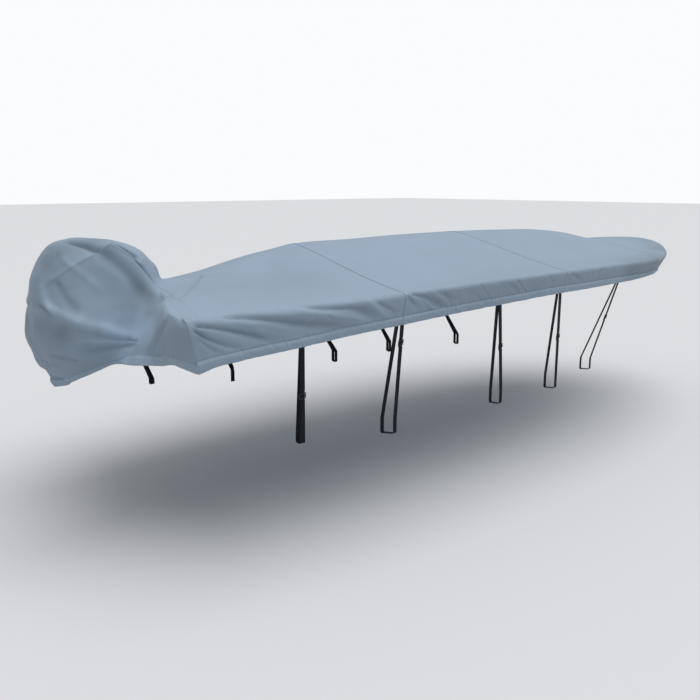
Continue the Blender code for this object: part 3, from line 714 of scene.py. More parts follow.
def deck_panel(name, aft, fore):
    """A panel between two edges, each a function from lane to station."""
    half = lanes_at(np.array((1.5,)))[0]
    column = np.concatenate((np.arange(len(half))[::-1], np.arange(1, len(half))))
    side = np.concatenate((-np.ones(len(half)), np.ones(len(half) - 1)))
    length = fore(half[column]) - aft(half[column])
    share = ladder(length, SEAM_ROWS, SEAM_ROWS, STEPS[name]).T

    def stations(lane):
        return aft(lane) * (1 - share) + fore(lane) * share

    x = stations(half[column])
    lane = lanes_at(x.ravel())[np.arange(x.size), np.tile(column, len(x))].reshape(x.shape)
    x = stations(lane)

    def surface(x, signed):
        return deck(x, np.abs(signed), np.where(signed < 0, -1.0, 1.0))

    signed = lane * np.where(side < 0, -1, 1)
    panel = Panel(name, surface, x, signed, ("first", "last"), ("first",))
    panel.hang(x, lane)
    across = panel.away["left"]
    middle = len(half) - 1
    panel.cut = np.dstack((x, across - across[:, middle : middle + 1]))
    return panel


def bow_panel(name):
    turn = ladder(BOW_RIM_LENGTH, SEAM_ROWS, SEAM_ROWS, STEPS[name])[0] * 2 - 1
    x = bow_station(turn)
    lane = lanes_at(x)
    turn = np.broadcast_to(turn[:, None], lane.shape)
    panel = Panel(name, bow, turn, lane, ("first", "last"), ("first", "last"))
    panel.hang(x[:, None], lane)
    # The spine's rows lie on the centreline
    panel.normals[:, 0, 1] = 0
    panel.normals[:, 0] = unit(panel.normals[:, 0])
    rim = len(DECK_LANES) - 1
    flat, across = panel.points[:, :, :2], panel.away["left"]
    outward = flat[:, rim] - flat[:, 0]
    outward = outward / np.maximum(np.linalg.norm(outward, axis=1, keepdims=True), 1e-6)
    past = np.maximum(across - across[:, rim : rim + 1], 0)[..., None]
    panel.cut = np.where(past > 0, flat[:, rim : rim + 1] + outward[:, None] * past, flat)
    return panel


def hood_side(name, side):
    near = SEAM_ROWS / HOOD_EDGE_LENGTH
    at = ladder(1.0, near, near, HOOD_COLUMNS)[0] * CORNER
    down = ladder(np.interp(at, *HOOD_DEPTHS), SEAM_ROWS, HEM_ROWS, HOOD_ROWS)
    at = np.broadcast_to(at[:, None], down.shape)
    laps = ("last", "first") if side < 0 else ("last",)
    sewn = ("first", "last", "left")
    panel = Panel(name, lambda a, d: hood(a, d, float(side)), at, down, sewn, laps)
    panel.below = panel.away["right"]
    return panel


def hood_crossing(name, first, last, laps):
    """The cap, or the gusset: rows from seam to seam over the crest."""
    length = CREST_RIB_LENGTH * (last - first)
    at = first + (last - first) * ladder(length, SEAM_ROWS, SEAM_ROWS, STEPS[name])[0]
    across = ladder(CROSSING_LENGTH, SEAM_ROWS, SEAM_ROWS, CROSSING_COLUMNS)[0] * 2 - 1
    at, across = np.meshgrid(at, across, indexing="ij")
    sewn = ("first", "last", "left", "right")
    return Panel(name, crossing, at, across, sewn[1:] if first == 0 else sewn, laps)


# Relief of the cloth
# Unevenness: how high it is, the size of its lumps, and its seed
BROAD_LUMPS, FINE_LUMPS = (0.0028, 0.50, 1), (0.0007, 0.12, 2)
HOOD_LUMPS, HOOD_CREASES = (0.0045, 0.17, 3), (0.0030, 0.11, 4)
SKIRT_CREASES = (0.0050, metres((60, 190, 400)), 5)
SKIRT_LUMPS = (0.0016, metres((35, 90, 400)), 6)
# Turns places so that the skirts' creases lean forward on their way down
LEANING = np.array(((0.62, 0.0, 0.78), (0.78, 0.0, -0.62), (0.0, 1.0, 0.0)))
# Where along the cover a change begins, and over what run
HOOD_SLACKENS = (0.20, -0.25)
SKIRTS_CALM = (1.9, 0.8)
BACK_BEGINS = (-0.04, -0.16)
HEM_LIGHTENS = (1.2, 1.5)
SEAMS_BEGIN = (-0.292, 0.03)
CROWN_SEAM_BEGINS = (-0.04, 0.06)
PORT_BEGINS = (-0.04, 0.08)  # from the centreline
CORNER_BEGINS = (0.62, 0.1)  # in lanes of the dart's seam
# Behind, the belly of the cloth stands out over the hood's hem: how far, where, how wide
BELLY, BELLY_PLACE, BELLY_WIDTH = 0.003, 0.110, 0.035
# How steep the cloth is where the painted light from above, which partly stands for sun fading,
# begins, and where it is full: on the deck it runs out just at the edge fold, where on the hood it
# runs out slowly
DECK_PAINTED_TOP_LIGHT, HOOD_PAINTED_TOP_LIGHT = (0.35, 0.75), (-0.1, 0.6)
# The painted shadow line drawn along an edge that laps the other, and along one that doesn't,
# for the shadow of the seam's step: how dark it is, and how wide
LAPPED_SHADOW_LINE, OTHER_SHADOW_LINE = (0.3, 0.0020), (1.0, 0.0070)
FOLD_SHADE_FULL = 0.012  # the depth of a fold whose painted shade, and painted highlight on a ridge, is full
# Tones of the hem, lighter than the cloth: all of it, for its doubled cloth and painted light on
# its puff, painted light towards its stitches on its top, painted highlights on its puckers, and
# forward
HEM_TONE, STITCHED_PAINTED_LIGHT, PUCKER_HIGHLIGHT, FORWARD_TONE = 0.4, 0.5, 1.5, 0.8
CORNER_SEAM = 0.15  # how plainly the seam over the stern corner shows
# How plainly a seam shows, where that isn't by half
SEAMS_SHOW = {
    ("stern_panel", "last"): 1.0, ("middle_panel", "first"): 1.0,
    ("middle_panel", "last"): 0.9, ("fore_panel", "first"): 0.9,
    ("fore_panel", "last"): 0.8, ("bow_panel", "first"): 0.8, ("bow_panel", "last"): 0.8,
    ("hood_cap", "left"): 0.12, ("hood_cap", "right"): 0.12,
    ("stern_panel", "first"): 0.3, ("neck_gusset", "last"): 0.3,
}


def gathered(along, below, seed):
    """The hem's puckers over its draw cord, strongest at the stitches, fading above."""
    slanted = (along + PUCKER_SLANT * below).ravel()
    line = np.column_stack((slanted, np.zeros_like(slanted), np.zeros_like(slanted)))
    wandering = uneven(line, WANDER_SIZE, seed)
    wave = 0
    for height, pitch, wander in PUCKERS:
        phase = slanted * 2 * math.pi / pitch + wander * wandering
        wave = wave + height * (0.5 + 0.5 * np.sin(phase)) ** PUCKER_SHARPNESS
    wave *= 0.55 + 0.45 * uneven(line, PUCKER_GROUP, seed + 1)
    above = below - HEM_WIDTH
    down, up = PUCKERS_FADE
    strength = np.where(above < 0, 0.5 + 0.5 * bell(above, down), np.exp(-above / up))
    return wave.reshape(along.shape) * strength


def seam_strength(panel, which):
    """How plainly a seam shows: not where it goes round the hood's back, and hardly where it
    turns down over the stern corner."""
    forward = panel.points[..., 0]
    strength = ramp(forward, *SEAMS_BEGIN)
    if panel.name.startswith("hood_side") and which == "left":
        strength = strength * (0.35 + 0.65 * ramp(forward, *CROWN_SEAM_BEGINS))
    if panel.name.startswith("hood_side") and which == "last":
        strength = strength * CORNER_SEAM
    strength = strength * (1 - 0.5 * panel.skirt)
    if panel.name == "stern_panel" and which == "first":
        strength = strength * (1 - (1 - CORNER_SEAM) * ramp(np.abs(panel.second), *CORNER_BEGINS))
    return strength


def slack_of(panel):
    """How far the slack cloth stands out unevenly, calm beside its seams."""
    points = panel.points.reshape(-1, 3)

    def lumps(places, height, size, seed):
        return height * uneven(places, size, seed)

    def creases(power, places, height, size, seed):
        return height * creased(places, size, seed) ** power

    calm = np.ones(panel.shape)
    for which in panel.sewn:
        calm *= 1 - CALM * bell(panel.away[which], CALM_WIDTH)
    slack = lumps(points, *BROAD_LUMPS) + lumps(points, *FINE_LUMPS)
    hooded = lumps(points, *HOOD_LUMPS) - creases(5, points, *HOOD_CREASES)
    slack += ramp(points[:, 0], *HOOD_SLACKENS) * hooded
    leaning = points @ LEANING.T
    skirts = lumps(leaning, *SKIRT_LUMPS) - creases(6, leaning, *SKIRT_CREASES)
    skirts *= 1 - 0.65 * ramp(points[:, 0], *SKIRTS_CALM)
    return calm * (slack.reshape(panel.shape) + panel.skirt * skirts.reshape(panel.shape))


def hem_of(panel, seed):
    """How far the gathered hem stands out, and the tone of its band: lighter for the doubled cloth,
    with painted light on its puffed top and painted highlights on its puckers.
    """
    below, forward = panel.below, panel.points[..., 0]
    band = np.clip(below / HEM_WIDTH, 0, 1)
    ends = np.ones(panel.shape)
    for which in ("first", "last"):
        ends *= 1 - bell(panel.away[which], 0.008)
    out = HEM_PUFF * np.sin(math.pi * band**1.8) ** 0.7 * (below < HEM_WIDTH)
    puckers = gathered(panel.away["first"], below, seed) * ends * (below < PUCKER_TOP)
    out += PUCKER * puckers
    out -= HEM_GROOVE * bell(below - HEM_WIDTH, GROOVE_WIDTH)
    out += ramp(forward, *BACK_BEGINS) * BELLY * bell(below - BELLY_PLACE, BELLY_WIDTH)
    # Painted light on the band, most at its puffed top by the stitches, and painted highlights on
    # the puckers' crests
    tone = HEM_TONE + STITCHED_PAINTED_LIGHT * band + PUCKER_HIGHLIGHT * puckers
    tone = tone + FORWARD_TONE * ramp(forward, *HEM_LIGHTENS)
    return out, ramp(below, HEM_WIDTH, -0.004) * tone


def seams_of(panel):
    """How far the cloth stands out at its seams, their painted shadow lines beside the step, and
    the painted highlights on their laps.
    """
    out, line, lap_highlight = (np.zeros(panel.shape) for _ in range(3))
    for which in panel.sewn:
        away, lapped = panel.away[which], which in panel.laps
        strength = seam_strength(panel, which)
        plain_to_see = strength * SEAMS_SHOW.get((panel.name, which), 0.5)
        out -= plain_to_see * SEAM_DRAW * bell(away, SEAM_HOLLOW)
        # A painted shadow line along the seam, darker and wider on the edge that isn't lapped
        shade, width = LAPPED_SHADOW_LINE if lapped else OTHER_SHADOW_LINE
        line = np.maximum(line, plain_to_see * shade * bell(away, width))
        if lapped:
            doubled = strength * ramp(away, LAP_WIDTH + 0.001, -0.002)
            out += LAP_RISE * doubled * (0.2 + 0.8 * plain_to_see)
            # A painted highlight along the doubled cloth
            lap_highlight = np.maximum(lap_highlight, doubled * plain_to_see**2)
    return out, line, lap_highlight


def relief(panel, seed):
    """How far the cloth stands out from its base at each place, and its tones there: painted shade
    and highlights in folds, along seams and on the hem, and painted light from above with fading.
    """
    points = panel.points.reshape(-1, 3)
    port = ramp(points[:, 1], *PORT_BEGINS)
    pressed = fold_depth(points, -1) * (1 - port) + fold_depth(points, 1) * port * PORT_SHARE
    pressed = pressed.reshape(panel.shape)
    hem, band = hem_of(panel, seed)
    seams, line, lap_highlight = seams_of(panel)
    # Painted light and shade at the listed places, partly standing for uneven fading
    painted_and_faded = sum(amount * nearness(points, *place) for amount, *place in PAINTED_LIGHT_AND_FADING)
    # Painted light from above: the more the cloth faces up, the lighter it is, partly standing for
    # sun fading
    least, most = DECK_PAINTED_TOP_LIGHT if panel.skirt.any() else HOOD_PAINTED_TOP_LIGHT
    overhead = ramp(panel.normals[..., 2], least, most - least)
    tones = {
        "painted_seam_shadow": line,
        "painted_lap_highlight": lap_highlight,
        "hem_doubled_and_painted_light": band,
        # Painted shade in the folds' troughs, and painted highlights on the raised ones
        "painted_fold_shade": np.clip(-pressed / FOLD_SHADE_FULL, -1, 1),
        "painted_light_and_fading": overhead + painted_and_faded.reshape(panel.shape),
    }
    return slack_of(panel) - pressed + hem + seams, tones


def linked(name, data):
    """A new object in the scene."""
    made = bpy.data.objects.new(name, data)
    bpy.context.scene.collection.objects.link(made)
    return made


def as_data(name, mesh, finish):
    """Mesh data from a bmesh, smooth and with its finish."""
    data = bpy.data.meshes.new(name)
    mesh.to_mesh(data)
    mesh.free()
    data.shade_smooth()
    data.materials.append(finish)
    return data


def thicken(piece, thickness):
    put(piece.modifiers.new("thickness", "SOLIDIFY"), thickness=thickness, offset=0.0)


def cloth_piece(panel, seed, finish):
    """The panel as a mesh piece, its relief laid on, with its cut as the UV map."""
    out, tones = relief(panel, seed)
    panel.shaped = panel.points + panel.normals * out[..., None]
    rows, columns = panel.shape
    index = np.arange(rows * columns).reshape(rows, columns)
    corners = [index[:-1, :-1], index[:-1, 1:], index[1:, 1:], index[1:, :-1]]
    if not panel.turned:
        corners.reverse()
    faces = np.stack(corners, axis=-1).reshape(-1, 4)
    data = bpy.data.meshes.new(panel.name + "_cloth")
    data.from_pydata((panel.shaped.reshape(-1, 3) - SUPPORT).tolist(), [], faces.tolist())
    cut = data.uv_layers.new(name="cut")
    cut.data.foreach_set("uv", panel.cut.reshape(-1, 2)[faces.ravel()].ravel().astype(np.float32))
    for name, values in tones.items():
        data.attributes.new(name, "FLOAT", "POINT").data.foreach_set(
            "value", values.ravel().astype(np.float32)
        )
    mesh = bmesh.new()
    mesh.from_mesh(data)
    bmesh.ops.remove_doubles(mesh, verts=mesh.verts, dist=1e-5)
    mesh.to_mesh(data)
    mesh.free()
    data.shade_smooth()
    data.materials.append(finish)
    piece = linked(panel.name + "_cloth", data)
    thicken(piece, CLOTH)
    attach(piece, "root")
    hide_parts(panel.name)
    cut = CUTS[panel.name]


# Tie-downs and sliders
def skirt_place(x, lane, side):
    return Vector(deck([x], [lane], [side])[0])


def rounded_corner(before, corner, after, radius):
    """Points of the round between two straight runs."""
    start = corner + (before - corner).normalized() * radius
    end = corner + (after - corner).normalized() * radius
    shares = [i / 8 for i in range(9)]
    return [start * (1 - t) ** 2 + corner * 2 * t * (1 - t) + end * t * t for t in shares]


def hem_frame(row, side):
    """Where a tie-down leaves the hem: the place, and the ways up, along the hem and in."""
    hem = skirt_place(row.hem, 3.0, side)
    up = (skirt_place(row.hem, 2.6, side) - hem).normalized()
    fore, aft = row.hem + WEBBING_WIDTH, row.hem - WEBBING_WIDTH
    along = skirt_place(fore, 3.0, side) - skirt_place(aft, 3.0, side)
    along = (along - up * along.dot(up)).normalized()
    inward = along.cross(up)
    if inward.y * side > 0:
        inward = -inward
    return hem, up, along, inward


def tie_down_route(row, side):
    """The webbing from behind the hem, down, round the bar and back up to the hem."""
    hem, up, along, inward = hem_frame(row, side)
    behind = inward * (PANEL_THICKNESS / 2 + SEWN_CLEARANCE + WEBBING_THICKNESS / 2)
    further = inward * (WEBBING_THICKNESS + SEWN_CLEARANCE)
    beside = along * row.spread / 2
    clear = BAR_CLEARANCE + WEBBING_THICKNESS / 2
    outer = side * (row.breadth + clear)
    inner = side * (row.breadth - row.thickness - clear)
    low = row.top - row.height - clear
    corners = (
        Vector((row.foot, outer, row.top)) + beside,
        Vector((row.foot, outer, low)) + beside,
        Vector((row.foot, inner, low)) - beside,
        Vector((row.foot, inner, row.top)) - beside,
    )
    start, finish = hem + behind + beside, hem + behind + further - beside
    head = [start + up * SEWN_LENGTH, start - up * STRAIGHT_BELOW]
    return head, corners, [finish - up * STRAIGHT_BELOW, finish + up * SEWN_LENGTH]


def slider_frame(row, side):
    """Centre of the slider on the outboard strand, and its own axes: along, across, out."""
    head, corners, _ = tie_down_route(row, side)
    along = (corners[0] - head[-1]).normalized()
    hem_line = hem_frame(row, side)[2]
    across = (hem_line - along * along.dot(hem_line)).normalized()
    out = across.cross(along)
    if out.y * side < 0:
        out = -out
    return head[-1] + along * row.slider, along, across, out


def slider_weave(row, side):
    """The webbing's places through the slider: behind its end bars, over its middle one."""
    centre, along, _, out = slider_frame(row, side)
    pitch = (SLIDER_LENGTH - SLIDER_BAR) / 2
    offset = SLIDER_THICKNESS / 2 + WEBBING_THICKNESS / 2 + TOUCH
    places = np.linspace(WEAVE_ALONG[0], WEAVE_ALONG[-1], 49)
    levels = between(WEAVE_ALONG, WEAVE_SIDE, places)
    return [
        centre + along * float(at) * pitch + out * float(level) * offset
        for at, level in zip(places, levels)
    ]


def tie_down(name, row, side, finish):
    """Webbing with rounded edges, its cut as the UV map: across it, and along it."""
    head, corners, tail = tie_down_route(row, side)
    across = slider_frame(row, side)[2]
    hem_line = hem_frame(row, side)[2]
    woven = slider_weave(row, side)
    route = head + woven
    ends = [woven[-1], *corners, tail[0]]
    for before, corner, after in zip(ends, corners, ends[2:]):
        route += rounded_corner(before, corner, after, WEBBING_BEND)
    route += tail
    rows, run_to = [], 0.0
    shares = (-1.0, -0.94, -0.5, 0.0, 0.5, 0.94, 1.0)
    mesh = bmesh.new()
    cut = mesh.loops.layers.uv.new("cut")
    for i, point in enumerate(route):
        run = (route[min(i + 1, len(route) - 1)] - route[max(i - 1, 0)]).normalized()
        width = (hem_line - run * run.dot(hem_line)).normalized()
        if len(head) <= i < len(head) + len(woven):
            width = across
        run_to += (point - route[max(i - 1, 0)]).length
        half = width * WEBBING_WIDTH / 2
        shift = Vector(SUPPORT)
        rows.append([(mesh.verts.new(point + half * s - shift), s, run_to) for s in shares])
    for upper, lower in zip(rows, rows[1:]):
        for i in range(len(shares) - 1):
            corner = (upper[i], upper[i + 1], lower[i + 1], lower[i])
            face = mesh.faces.new([vertex for vertex, _, _ in corner])
            for loop, (_, share, place) in zip(face.loops, corner):
                loop[cut].uv = (share * WEBBING_WIDTH / 2, place)
    bmesh.ops.recalc_face_normals(mesh, faces=mesh.faces)
    piece = linked(name + "_webbing", as_data(name + "_webbing", mesh, finish))
    thicken(piece, WEBBING_THICKNESS)
    rounded = piece.modifiers.new("rounded_edges", "BEVEL")
    put(rounded, width=WEBBING_EDGE, segments=2, limit_method="ANGLE", angle_limit=math.pi / 3)
    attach(piece, "root")
    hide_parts(name)


def ring(curve, half_wide, low, high, radius):
    """A closed outline with rounded corners in a flat curve."""
    spline = curve.splines.new("POLY")
    spline.points.add(19)  # five places round each of the four corners
    for i, point in enumerate(spline.points):
        corner, turn = i // 5, math.radians(90 * (i // 5) + 22.5 * (i % 5))
        x = (half_wide - radius) * (1, -1, -1, 1)[corner] + radius * math.cos(turn)
        y = (high - radius if corner < 2 else low + radius) + radius * math.sin(turn)
        point.co = (x, y, 0.0, 1.0)
    spline.use_cyclic_u = True


def slider(name, row, side, finish):
    """A moulded three-bar slider: rounded edges, two slots and a bead on each end bar."""
    outline = bpy.data.curves.new(name + "_outline", "CURVE")
    put(
        outline, dimensions="2D", fill_mode="BOTH", extrude=SLIDER_THICKNESS / 2 - SLIDER_EDGE,
        bevel_depth=SLIDER_EDGE, bevel_resolution=2, offset=-SLIDER_EDGE,
    )
    slot = (SLIDER_LENGTH - 3 * SLIDER_BAR) / 2
    middle = (slot + SLIDER_BAR) / 2
    inside = WEBBING_WIDTH / 2 + SLOT_CLEARANCE
    ring(outline, SLIDER_WIDTH / 2, -SLIDER_LENGTH / 2, SLIDER_LENGTH / 2, SLIDER_CORNER)
    ring(outline, inside, middle - slot / 2, middle + slot / 2, SLOT_CORNER)
    ring(outline, inside, -middle - slot / 2, -middle + slot / 2, SLOT_CORNER)
    drawn = bpy.data.objects.new(name + "_outline", outline)
    mesh = bmesh.new()
    flat = bpy.data.meshes.new_from_object(drawn)
    mesh.from_mesh(flat)
    bpy.data.objects.remove(drawn)
    bpy.data.curves.remove(outline)
    bpy.data.meshes.remove(flat)
    bmesh.ops.remove_doubles(mesh, verts=mesh.verts, dist=1e-6)
    end_bar = (SLIDER_LENGTH - SLIDER_BAR) / 2
    for end in (-1, 1):
        bead = bmesh.ops.create_uvsphere(mesh, u_segments=12, v_segments=8, radius=BEAD_RADIUS)
        place = Matrix.Translation((0, end * end_bar, SLIDER_THICKNESS / 2))
        matrix = place @ Matrix.Diagonal(BEAD_STRETCH)
        bmesh.ops.transform(mesh, matrix=matrix, verts=bead["verts"])
    centre, along, across, out = slider_frame(row, side)
    across = across if across.cross(-along).dot(out) > 0 else -across
    turned = Matrix((across, -along, out)).transposed().to_4x4()
    matrix = Matrix.Translation(centre - Vector(SUPPORT)) @ turned
    bmesh.ops.transform(mesh, matrix=matrix, verts=mesh.verts)
    bmesh.ops.recalc_face_normals(mesh, faces=mesh.faces)
    data = as_data(name + "_moulding", mesh, finish)
    data.set_sharp_from_angle(angle=math.radians(50))
    piece = linked(name + "_moulding", data)
    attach(piece, "root")
    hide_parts(name)


# Nodes
def feed(tree, node, inputs):
    """Gives a node its inputs, as values or linked from sockets."""
    for socket, value in dict(inputs).items():
        if isinstance(value, bpy.types.NodeSocket):
            tree.links.new(value, node.inputs[socket])
        else:
            node.inputs[socket].default_value = value


def add_node(tree, kind, inputs=(), **settings):
    node = tree.nodes.new(kind)
    put(node, **settings)
    feed(tree, node, inputs)
    return node


# Stitching
THREAD = 0.0009  # how thick a stitch stands
THREAD_LIFT = 0.25  # how far its middle is above the cloth, in its thickness
STITCH_PITCH = 0.0048
STITCH_LENGTH = 0.0036
BOX_PITCH = 0.0036
BOX_STITCH = 0.0028
BOX_INSET = 0.003  # in from the webbing's edges
BOX_LOW, BOX_HIGH = 0.006, 0.036
STITCH_SIZES = (0.86, 1.08)  # least and most, at random
STITCHES_SHOW = 0.3  # how plain a seam has to be


def stitch_tree(finish):
    """Geometry Nodes: lines to rows of stitches that lie along them on the cloth."""
    tree = bpy.data.node_groups.new("stitches", "GeometryNodeTree")
    face = tree.interface
    face.new_socket("Lines", in_out="INPUT", socket_type="NodeSocketGeometry")
    for name in ("Pitch", "Length", "Thickness"):
        face.new_socket(name, in_out="INPUT", socket_type="NodeSocketFloat")
    face.new_socket("Stitches", in_out="OUTPUT", socket_type="NodeSocketGeometry")

    def add(kind, inputs=(), **settings):
        return add_node(tree, kind, inputs, **settings).outputs

    given = add("NodeGroupInput")
    lines = add("GeometryNodeMeshToCurve", {"Mesh": given["Lines"]})
    spaced = add(
        "GeometryNodeResampleCurve", {"Curve": lines[0], "Length": given["Pitch"]}, mode="LENGTH"
    )
    ball = add("GeometryNodeMeshUVSphere", {"Segments": 6, "Rings": 3, "Radius": 0.5})
    thickness = given["Thickness"]
    shape = add("ShaderNodeCombineXYZ", {"X": given["Length"], "Y": thickness, "Z": thickness})
    stitch = add("GeometryNodeTransform", {"Geometry": ball[0], "Scale": shape[0]})
    outward = add("GeometryNodeInputNamedAttribute", {"Name": "outward"}, data_type="FLOAT_VECTOR")
    run = add("GeometryNodeInputTangent")
    turned = add(
        "FunctionNodeAxesToRotation", {"Primary Axis": outward[0], "Secondary Axis": run[0]},
        primary_axis="Z", secondary_axis="X",
    )
    least, most = STITCH_SIZES
    sized = add("FunctionNodeRandomValue", {"Seed": 7, 2: least, 3: most}, data_type="FLOAT")
    placed = add(
        "GeometryNodeInstanceOnPoints",
        {"Points": spaced[0], "Instance": stitch[0], "Rotation": turned[0], "Scale": sized[1]},
    )
    real = add("GeometryNodeRealizeInstances", {"Geometry": placed[0]})
    done = add("GeometryNodeSetMaterial", {"Geometry": real[0], "Material": finish})
    add_node(tree, "NodeGroupOutput", {0: done[0]})
    return tree


def stitch_piece(name, lines, tree, pitch=STITCH_PITCH, length=STITCH_LENGTH):
    """Stitches along lines, each a pair of arrays: places, and the ways out of the cloth."""
    height = CLOTH / 2 + THREAD * THREAD_LIFT
    points = np.vstack([places + ways * height for places, ways in lines])
    starts = np.cumsum([0] + [len(places) for places, _ in lines])
    edges = [
        (i, i + 1) for first, last in zip(starts, starts[1:]) for i in range(first, last - 1)
    ]
    data = bpy.data.meshes.new(name + "_lines")
    data.from_pydata((points - SUPPORT).tolist(), edges, [])
    ways = np.vstack([ways for _, ways in lines]).astype(np.float32)
    data.attributes.new("outward", "FLOAT_VECTOR", "POINT").data.foreach_set("vector", ways.ravel())
    drawn = linked(name + "_lines", data)
    modifier = drawn.modifiers.new("stitches", "NODES")
    modifier.node_group = tree
    sizes = {"Pitch": pitch, "Length": length, "Thickness": THREAD}
    for item in tree.interface.items_tree:
        if item.in_out == "INPUT" and item.name in sizes:
            modifier[item.identifier] = sizes[item.name]
    bpy.context.view_layer.update()
    shown = drawn.evaluated_get(bpy.context.evaluated_depsgraph_get())
    made = bpy.data.meshes.new_from_object(shown)
    made.name = name
    made.shade_smooth()
    bpy.data.objects.remove(drawn)
    piece = linked(name, made)
    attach(piece, "root")


def seam_lines(panel):
    """The two rows of stitches along each lapped edge, where they show."""
    lines = []
    for which in panel.laps:
        for row in STITCH_ROWS:
            pick = row_from(which, row)
            shown = seam_strength(panel, which)[pick] > STITCHES_SHOW
            if shown.sum() > 2:  # enough for a line
                lines.append((panel.shaped[pick][shown], panel.normals[pick][shown]))
    return lines


def hem_lines(panel):
    """The row of stitches along each hem of the panel."""
    sides = ["right"] + (["left"] if panel.second.min() < -2 else [])
    picks = [row_from(side, HEM_STITCHES) for side in sides]
    return [(panel.shaped[pick], panel.normals[pick]) for pick in picks]


def on_skirt(decks, x, below, side):
    """Places on a side skirt at stations and heights over its hem, and the ways out there."""
    places, ways = np.zeros((len(x), 3)), np.zeros((len(x), 3))
    left = np.ones(len(x), bool)
    for panel in decks:
        chosen = left & (x <= panel.first[-1, 0])
        left &= ~chosen
        columns = np.flatnonzero(panel.second[0] * side >= 2)
        for k in np.flatnonzero(chosen):

            def across(values):
                return np.array([
                    np.interp(x[k], panel.first[:, c], values[:, c]) for c in columns
                ])

            up = across(panel.below)
            order = np.argsort(up)
            for kept, source in ((places, panel.shaped), (ways, panel.normals)):
                for axis in range(3):
                    level = across(source[..., axis])
                    kept[k, axis] = np.interp(below[k], up[order], level[order])
    return places, ways


def box_lines(decks, row, side):
    """A box with a cross in it, through the hem and the webbing sewn on behind it."""
    wide = (row.spread + WEBBING_WIDTH) / 2 - BOX_INSET
    corners = ((-wide, BOX_LOW), (wide, BOX_LOW), (wide, BOX_HIGH), (-wide, BOX_HIGH))
    share = np.linspace(0, 1, 9)
    lines = []
    for i, j in ((0, 1), (1, 2), (2, 3), (3, 0), (0, 2), (1, 3)):
        start, end = corners[i], corners[j]
        along, up = (start[k] + (end[k] - start[k]) * share for k in (0, 1))
        lines.append(on_skirt(decks, row.hem + along, up, side))
    return lines


# Finishes
class Nodes:
    """Short words for building a material from nodes."""

    def __init__(self, name):
        self.material = bpy.data.materials.new(name)
        self.material.use_nodes = True
        self.tree = self.material.node_tree

    def add(self, kind, inputs=(), **settings):
        return add_node(self.tree, kind, inputs, **settings).outputs[0]

    def math(self, operation, first, second=0.0):
        return self.add("ShaderNodeMath", {0: first, 1: second}, operation=operation)

    def plus(self, start, *terms):
        """The start and each of the terms, a value and its share."""
        for value, share in terms:
            start = self.math("ADD", start, self.math("MULTIPLY", value, share))
        return start

    def noise(self, at, scale, detail=2.0):
        return self.add("ShaderNodeTexNoise", {"Vector": at, "Scale": scale, "Detail": detail})

    def scaled(self, at, factors):
        return self.add("ShaderNodeVectorMath", {0: at, 1: factors}, operation="MULTIPLY")

    def attribute(self, name):
        return add_node(self.tree, "ShaderNodeAttribute", attribute_name=name).outputs["Fac"]

    def uv(self):
        return self.add("ShaderNodeUVMap", uv_map="cut")

    def split(self, vector):
        return add_node(self.tree, "ShaderNodeSeparateXYZ", {0: vector}).outputs

    def place(self):
        return add_node(self.tree, "ShaderNodeTexCoord").outputs["Object"]

    def bump(self, strength, distance, height):
        return self.add(
            "ShaderNodeBump", {"Strength": strength, "Distance": distance, "Height": height}
        )

    def shade(self, colour, roughness, **others):
        """The material, with its shader's inputs."""
        inputs = {"Base Color": colour, "Roughness": roughness}
        inputs |= {name.replace("_", " "): value for name, value in others.items()}
        feed(self.tree, self.tree.nodes["Principled BSDF"], inputs)
        return self.material


CLOTH_COLOUR = (0.270, 0.355, 0.445)
CLOTH_DARKEST = 0.76
# How much each of the tones lightens the cloth, or darkens it where that is negative: painted shade
# in folds and along seams, painted highlights on laps, painted light on the hem, and painted light
# from above with fading
CLOTH_TONES = {
    "painted_fold_shade": 0.07, "painted_light_and_fading": 0.11, "hem_doubled_and_painted_light": 0.11, "painted_lap_highlight": 0.16, "painted_seam_shadow": -0.30,
}
WEAVE_PITCH = 0.0011  # two threads
SLUBS_ALONG, SLUBS_ACROSS = 55.0, 900.0
COCKLE, WEATHER, DUST = (55.0, 3.0), (2.6, 4.0), (17.0, 5.0)  # scale and detail of each noise
WEBBING_COLOUR = (0.0045, 0.0070, 0.0125)
WEBBING_COLUMN, WEBBING_PICK = 0.0030, 0.0022
PLASTIC_COLOUR = (0.008, 0.009, 0.011)
THREAD_COLOUR = (0.42, 0.50, 0.58)


def canvas():
    """Coated blue-grey canvas: plain weave, uneven threads, and tones with painted light and shade:
    fading with painted light from above, painted shade in folds and at seams, painted highlights on
    laps, and a hem lighter with painted light.
    """
    n = Nodes("coated_canvas")
    uv, place = n.uv(), n.place()
    threads = n.split(n.scaled(uv, (2 * math.pi / WEAVE_PITCH,) * 2 + (0.0,)))
    weave = n.math("MULTIPLY", n.math("SINE", threads[0]), n.math("SINE", threads[1]))
    slub_warp = n.noise(n.scaled(uv, (SLUBS_ALONG, SLUBS_ACROSS, 0.0)), 1.0)
    slub_weft = n.noise(n.scaled(uv, (SLUBS_ACROSS, SLUBS_ALONG, 0.0)), 1.0)
    slubs = n.math("ADD", slub_warp, slub_weft)
    cockle, weathered, dusty = (n.noise(place, *kind) for kind in (COCKLE, WEATHER, DUST))
    height = n.plus(slubs, (weave, 0.22), (cockle, 1.6))
    # The tones: painted shade, painted highlights and painted light from above, with some fading
    marks = [(n.attribute(name), share) for name, share in CLOTH_TONES.items()]
    tone = n.math("MULTIPLY", weathered, 0.10)
    tone = n.math("ADD", n.plus(tone, (dusty, 0.06), (slubs, 0.05), *marks), CLOTH_DARKEST)
    return n.shade(
        n.scaled(tone, CLOTH_COLOUR), n.plus(0.72, (dusty, 0.14)),
        Normal=n.bump(0.35, 0.0006, height),
        Sheen_Weight=0.12, Sheen_Roughness=0.5, Specular_IOR_Level=0.35,
    )


